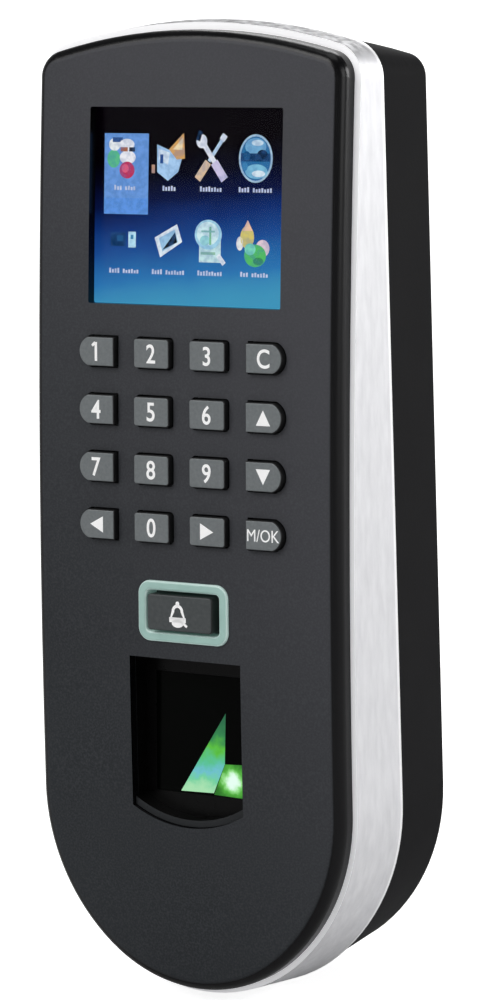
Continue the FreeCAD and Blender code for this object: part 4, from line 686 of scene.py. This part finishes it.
def drawSearch(shape, x, z):
    bar(shape, x, z - 1.5, 4.8, 4.8, (206, 238, 236))
    oval(shape, x - 0.4, z + 1.3, 6.0, 5.6, (172, 222, 240), 3)
    oval(shape, x - 0.5, z + 1.5, 4.9, 4.4, (218, 246, 246), 4)
    oval(shape, x - 1.1, z + 0.2, 2.2, 1.9, (160, 220, 222), 5)
    bar(shape, x + 0.1, z + 1.1, 0.45, 3.4, (132, 196, 150), 6)
    bar(shape, x - 0.4, z + 1.9, 3.0, 0.35, (150, 204, 190), 6)
    bar(shape, x - 0.4, z - 2.2, 3.2, 0.5, (150, 196, 170), 3)
    bar(shape, x + 2.5, z - 3.3, 0.9, 2.2, (240, 246, 250), 5, math.radians(-40))


def drawGroup(shape, x, z):
    oval(shape, x - 1.6, z + 1.0, 3.0, 4.2, (222, 206, 112), 3)
    patch(shape, [(x - 2.6, z + 2.2), (x - 1.5, z + 4.2), (x - 0.4, z + 2.2)], (250, 206, 166), 4)
    oval(shape, x - 3.2, z - 0.2, 1.5, 2.6, (240, 240, 234), 3)
    oval(shape, x + 1.8, z - 1.0, 3.0, 3.2, (240, 214, 220), 4)
    oval(shape, x + 0.2, z - 2.4, 4.8, 4.2, (88, 194, 102), 5)
    oval(shape, x - 0.9, z - 1.2, 2.4, 2.2, (130, 224, 190), 6)
    oval(shape, x + 0.9, z - 3.4, 2.2, 1.4, (60, 150, 70), 6)


def drawLabel(shape, x, z, across, gap):
    # a caption too small to read: short strokes of uneven height on a line
    full = picture["labelTall"]
    count = int(across / picture["strokeStep"])
    for k in range(count):
        if k == gap:
            continue
        tall = full * (1.0 if k in (0, 3) else 0.62 + 0.12 * (k % 3))
        aside = (k + 0.5 - count / 2) * picture["strokeStep"]
        bar(shape, x + aside, z + (tall - full) / 2, picture["strokeAcross"], tall,
            picture["labelColour"], 3)


def glow(start):
    # what is drawn on the display: each face carries its own colour, shaded a little in patches
    drawn = start.add("ShaderNodeAttribute", {"attribute_name": "ink"}, None, "Color")
    shade = between(noise(start, 900, 3), 0.35, 0.65, 0, 0.34)
    return lit(start, mixed(shade, drawn, tone(60, 110, 170)), 0.92, 0.5)


def makePicture():
    shape = bmesh.new()
    x, z, across, tall = picture["tile"]
    bar(shape, x, z, across, tall, picture["tileColour"], 1)
    bar(shape, x, z - tall * 0.4, across, tall * 0.2, picture["tileFoot"], 2)
    symbols = ((drawPeople, drawFolder, drawTools, drawGlobe),
               (drawStick, drawPhoto, drawSearch, drawGroup))
    rows = zip(symbols, picture["rows"], picture["labels"], picture["labelRows"])
    for draws, height, labels, labelHeight in rows:
        for column, draw, (across, gap) in zip(picture["columns"], draws, labels):
            draw(shape, column, height)
            drawLabel(shape, column, labelHeight, across, gap)
    newPiece("screenPicture", shape, "housing", makeMaterial(glow), onScreen)


def screenGlow(start):
    # black at the top, through navy and blue to light blue below, bluer at the left
    turn = onScreen.to_3x3()
    level = along(objectPlace(start), turn @ Vector((-0.12, 0, 1)))
    cloud = noise(start, 130, 3)
    middle = onScreen.translation.dot(turn @ upward)
    height = between(level + (cloud - 0.5) * (3 * mm), middle - 19 * mm, middle + 19 * mm)
    colour = ramp(height, [
        (0.0, tone(70, 162, 200)), (0.07, tone(48, 126, 190)), (0.24, tone(30, 82, 156)),
        (0.42, tone(16, 50, 118)), (0.58, tone(8, 20, 66)), (0.74, tone(5, 6, 26)),
        (0.88, tone(3, 1, 4))])
    return lit(start, colour, 0.82, 0.4)


paint(screenGlow, "display_panel")
makePicture()
print("display drawn")


# Legends on the keys

legend = {
    "digitTall": 3.6,    # mm
    "wordTall": 2.3,
    "squash": 0.86,      # how wide the letters are, of the plain font's width
    "weight": 0.013,     # how much bolder the digits are, of a letter's height
    "flag": (0.95, 0.5),          # the stroke at the top of the 1, long and wide
    "flagPlace": (-0.5, 1.404),
    "flagTurn": -0.75,   # radians
    "thick": 0.06,
    "proud": 0.018,      # from the key's foremost point to the middle of the lettering
    "arrowAcross": 3.1,
    "arrowTall": 2.9,
}
legendTexts = {"key_clear": "C", "key_ok": "M/OK",
               **{f"key_{digit}": str(digit) for digit in range(10)}}
arrowTurns = {"key_up": 0, "key_right": 90, "key_down": 180, "key_left": 270}


def lettering(text, tall):
    # letters in the xz plane, centred, facing -y
    curve = bpy.data.curves.new(text, "FONT")
    curve.body = text
    curve.size = 1.0
    curve.offset = legend["weight"] if len(text) == 1 else 0.0
    curve.extrude = 0.5
    curve.resolution_u = 6
    holder = placed(text, curve)
    bpy.context.view_layer.update()
    mesh = bpy.data.meshes.new_from_object(holder)
    bpy.data.objects.remove(holder)
    shape = bmesh.new()
    shape.from_mesh(mesh)
    bpy.data.meshes.remove(mesh)
    low, high = cornersOf([vertex.co for vertex in shape.verts])
    size = tall * mm / (high.y - low.y)
    bmesh.ops.translate(shape, verts=shape.verts, vec=-(low + high) / 2)
    bmesh.ops.scale(shape, verts=shape.verts,
                    vec=(size * legend["squash"], size, legend["thick"] * mm))
    bmesh.ops.rotate(shape, verts=shape.verts, matrix=Matrix.Rotation(math.pi / 2, 3, "X"))
    return shape


def arrow(degrees):
    half = legend["arrowAcross"] / 2
    top = legend["arrowTall"] / 2
    shape = bmesh.new()
    cutOut(shape, [(-half, -top), (half, -top), (0, top)], -legend["thick"] / 2, legend["thick"])
    turn = Matrix.Rotation(math.radians(degrees), 3, "Y")
    bmesh.ops.rotate(shape, verts=shape.verts, matrix=turn)
    return shape


def makeLegends():
    for name in keyNames:
        if name in arrowTurns:
            shape = arrow(arrowTurns[name])
        else:
            text = legendTexts[name]
            shape = lettering(text, legend["digitTall"] if len(text) == 1 else legend["wordTall"])
        if name == "key_1":
            aside, rise = legend["flagPlace"]
            long, wide = legend["flag"]
            place = Matrix.Translation((aside * mm, 0, rise * mm))
            turn = Matrix.Rotation(legend["flagTurn"], 4, "Y")
            slab(shape, place @ turn, long, legend["thick"], wide)
        low, high = partBox(name)
        middle = (low + high) / 2
        bmesh.ops.translate(shape, verts=shape.verts,
                            vec=(middle.x, low.y - legend["proud"] * mm, middle.z))
        newPiece(f"legend_{name}", shape, name, whiteLook)


makeLegends()
print("keys lettered")


# Bell on the call button

bell = {
    "aside": -0.35,      # mm from the middle of the button, as all below
    "rise": -0.1,
    "dome": 1.3,         # radius of the crown
    "domeRise": 0.55,
    "flare": 1.75,       # half of the skirt's width below
    "skirtLow": -1.0,
    "stroke": 0.6,
    "knob": (0.0, 1.95, 0.85, 1.0),      # middle x and z, across, tall
    "clapper": (0.0, -1.75, 2.6, 1.6),
    "brim": (0.0, -1.1, 3.7, 0.95, 0),   # the same, and turned by degrees
    "tail": (1.5, -1.85, 1.5, 0.5, 35),
    "thick": 0.06,
    "proud": 0.01,       # of the button's face
    "steps": 28,
}


def bellOutline(shape):
    # up one side, round the crown, down the other side and back along the skirt
    rise = Matrix.Translation((0, 0, bell["domeRise"] * mm))
    upright = Matrix.Rotation(math.pi / 2, 4, "X")
    crown = bmesh.ops.create_circle(shape, segments=24, radius=bell["dome"] * mm,
                                    matrix=rise @ upright)["verts"]
    lower = [vertex for vertex in crown if vertex.co.z < (bell["domeRise"] - 0.01) * mm]
    bmesh.ops.delete(shape, geom=lower, context="VERTS")
    ends = sorted(shape.verts, key=lambda vertex: (vertex.co.z, vertex.co.x))[:2]
    left, right = sorted(ends, key=lambda vertex: vertex.co.x)
    skirtLeft = shape.verts.new((-bell["flare"] * mm, 0, bell["skirtLow"] * mm))
    skirtRight = shape.verts.new((bell["flare"] * mm, 0, bell["skirtLow"] * mm))
    shape.edges.new((left, skirtLeft))
    shape.edges.new((skirtLeft, skirtRight))
    shape.edges.new((skirtRight, right))


def makeBell():
    shape = bmesh.new()
    bellOutline(shape)
    body = bmesh.ops.contextual_create(shape, geom=list(shape.edges))["faces"]
    bmesh.ops.inset_individual(shape, faces=body, thickness=bell["stroke"] * mm)
    bmesh.ops.delete(shape, geom=body, context="FACES")
    thick = bell["thick"]
    thickened(shape, list(shape.faces), thick)
    for x, z, across, tall in (bell["knob"], bell["clapper"]):
        place = Matrix.Translation(Vector((x, thick / 2, z)) * mm)
        disc(shape, place, across, thick, tall, bell["steps"])
    for x, z, across, tall, degrees in (bell["brim"], bell["tail"]):
        place = Matrix.Translation(Vector((x, thick / 2, z)) * mm)
        turn = Matrix.Rotation(math.radians(degrees), 4, "Y")
        slab(shape, place @ turn, across, thick, tall)
    low, high = partBox("bell_button")
    middle = (low + high) / 2
    spot = (middle.x + bell["aside"] * mm, low.y - bell["proud"] * mm, middle.z + bell["rise"] * mm)
    bmesh.ops.translate(shape, verts=shape.verts, vec=spot)
    newPiece("bellSign", shape, "bell_button", whiteLook)


makeBell()
print("bell drawn")


# The scanner's lamps seen in the glass, as painted reflections: glowing patches for a wedge and a
# bright corner beside it. Places are in millimetres from the lower left corner of the glass.

scanLight = {
    "wedge": [(15.65, 16.1), (15.4, 6.3), (12.9, 0.5), (5.5, 0.3)],
    "corner": [(15.45, 6.3), (19.5, 6.5), (19.5, 0.05), (13.0, 0.2)],
    "spot": (17.2, 3.1),
    "front": 0.03,       # from the glass to the front of the patches
    "thick": 0.027,
}
glassCorner = partBox("sensor_prism")[0]


def wedgeGlow(start):
    # painted reflection of the lamps: green, paler towards its foot
    rise = along(objectPlace(start), frontTurn.to_3x3() @ upward) - glassCorner.z
    cloud = noise(start, 500, 3)
    level = between(rise + (cloud - 0.5) * (5 * mm), 0, 16 * mm)
    colour = ramp(level, [
        (0.0, tone(170, 226, 178)), (0.08, tone(116, 208, 160)), (0.2, tone(112, 192, 206)),
        (0.36, tone(92, 194, 150)), (0.6, tone(92, 190, 66)), (0.8, tone(58, 136, 82)),
        (1.0, tone(48, 104, 74))])
    return lit(start, colour, 1.0, 0.3)


def cornerGlow(start):
    # painted reflection of the lamps: green, nearly white round the bright spot
    x, z = scanLight["spot"]
    spot = frontTurn @ (glassCorner + Vector((x, 0, z)) * mm)
    ends = {0: objectPlace(start), 1: spot}
    away = start.add("ShaderNodeVectorMath", {"operation": "DISTANCE"}, ends, "Value")
    cloud = noise(start, 700, 3)
    near = between(away + (cloud - 0.5) * (2.2 * mm), 0.7 * mm, 4.2 * mm)
    colour = ramp(near, [
        (0.0, tone(226, 252, 238)), (0.25, tone(150, 222, 140)), (0.55, tone(84, 172, 66)),
        (1.0, tone(48, 112, 44))])
    return lit(start, colour, 1.05, 0.3)


def makeScanLight():
    for name, recipe in (("wedge", wedgeGlow), ("corner", cornerGlow)):
        shape = bmesh.new()
        cutOut(shape, scanLight[name], -scanLight["front"], scanLight["thick"])
        bmesh.ops.translate(shape, verts=shape.verts, vec=glassCorner)
        newPiece(f"{name}Light", shape, "housing", makeMaterial(recipe))


makeScanLight()
print("scanner lit")


# Studio

camera = {
    "yaw": 32.21,        # degrees to the object's right
    "pitch": -6.65,
    "roll": 0.30,
    "distance": 747,     # mm
    "lens": 143.6,
    "target": (10.67, -35.25, 2.02),   # mm, along the front's axes
}


def makeCamera():
    aim = Matrix.Translation(Vector(camera["target"]) * mm)
    for angle, axis in (("yaw", "Z"), ("pitch", "X"), ("roll", "Y")):
        aim = aim @ Matrix.Rotation(math.radians(camera[angle]), 4, axis)
    aim = aim @ Matrix.Rotation(math.pi / 2, 4, "X")
    aim = aim @ Matrix.Translation((0, 0, camera["distance"] * mm))
    lens = bpy.data.cameras.new("camera")
    lens.lens = camera["lens"]
    eye = placed("camera", lens)
    eye.matrix_world = frontTurn @ aim
    bpy.context.scene.camera = eye


studio = {
    "floorRadius": 2.6,  # m
    "wallRise": 1.6,
    "curveSteps": 16,
    "roundSteps": 96,
    "floorGlow": 0.86,   # what the backdrop adds for the camera alone
    "worldSeen": 1.0,
    "worldGiven": 0.13,  # what it lights the object with
}
# each lamp: place in metres, size, power and colour; all look at the object
lamps = {
    "keyLight": ((-0.7, -1.5, 1.3), (1.4, 1.0), 24, (1, 0.99, 0.98)),
    "sideLight": ((1.7, -0.2, 0.35), (0.9, 1.5), 12, (1, 1, 1)),
    "bandLight": ((1.35, 1.1, 0.0), (0.8, 1.7), 34, (1, 1, 1)),
    "backLight": ((-0.5, 1.3, 1.5), (1.2, 1.0), 18, (1, 1, 1)),
    "topLight": ((0.1, -0.1, 1.7), (1.0, 1.0), 5, (0.98, 0.99, 1)),
}


def paleFloor(start):
    seen = start.add("ShaderNodeLightPath", output="Is Camera Ray")
    colour = mixed(noise(start, 3, 2), (0.5, 0.5, 0.51, 1), (0.54, 0.54, 0.54, 1))
    return principled(start, **{
        "Base Color": colour, "Roughness": 0.9, "Specular IOR Level": 0.0,
        "Emission Color": mixed(seen, black, white), "Emission Strength": studio["floorGlow"]})


def makeFloor():
    # a flat disc that curves up into a wall all round
    radius = studio["floorRadius"]
    rise = studio["wallRise"]
    low = cadBox[0][2]
    shape = bmesh.new()
    line = [shape.verts.new((0, 0, low)), shape.verts.new((radius - rise, 0, low))]
    shape.edges.new(line)
    bmesh.ops.spin(shape, geom=[line[1]], cent=(radius - rise, 0, low + rise), axis=(0, -1, 0),
                   angle=math.pi / 2, steps=studio["curveSteps"])
    bmesh.ops.spin(shape, geom=list(shape.edges) + list(shape.verts), cent=(0, 0, 0),
                   axis=(0, 0, 1), angle=math.tau, steps=studio["roundSteps"], use_merge=True)
    bmesh.ops.remove_doubles(shape, verts=shape.verts, dist=0.001 * mm)
    bmesh.ops.recalc_face_normals(shape, faces=shape.faces)
    mesh = bpy.data.meshes.new("floor")
    shape.to_mesh(mesh)
    shape.free()
    mesh.shade_smooth()
    mesh.materials.append(makeMaterial(paleFloor))
    floor = placed("floor", mesh)


def hangLamps():
    for name, (place, size, power, colour) in lamps.items():
        lamp = bpy.data.lights.new(name, "AREA")
        lamp.shape = "RECTANGLE"
        lamp.size, lamp.size_y = size
        lamp.energy = power
        lamp.color = colour
        stand = placed(name, lamp)
        stand.location = place
        stand.rotation_euler = (-Vector(place)).to_track_quat("-Z", "Y").to_euler()


def makeWorld():
    world = bpy.data.worlds.new("studio")
    world.use_nodes = True
    world.node_tree.nodes.clear()
    start = Wire(world.node_tree)
    seen = start.add("ShaderNodeLightPath", output="Is Camera Ray")
    strength = studio["worldGiven"] + seen * (studio["worldSeen"] - studio["worldGiven"])
    sky = start.add("ShaderNodeBackground", None, {"Color": white, "Strength": strength})
    start.add("ShaderNodeOutputWorld", None, {"Surface": sky})
    bpy.context.scene.world = world
    bpy.context.scene.view_settings.view_transform = "Standard"


makeCamera()
makeFloor()
hangLamps()
makeWorld()
print("studio set")
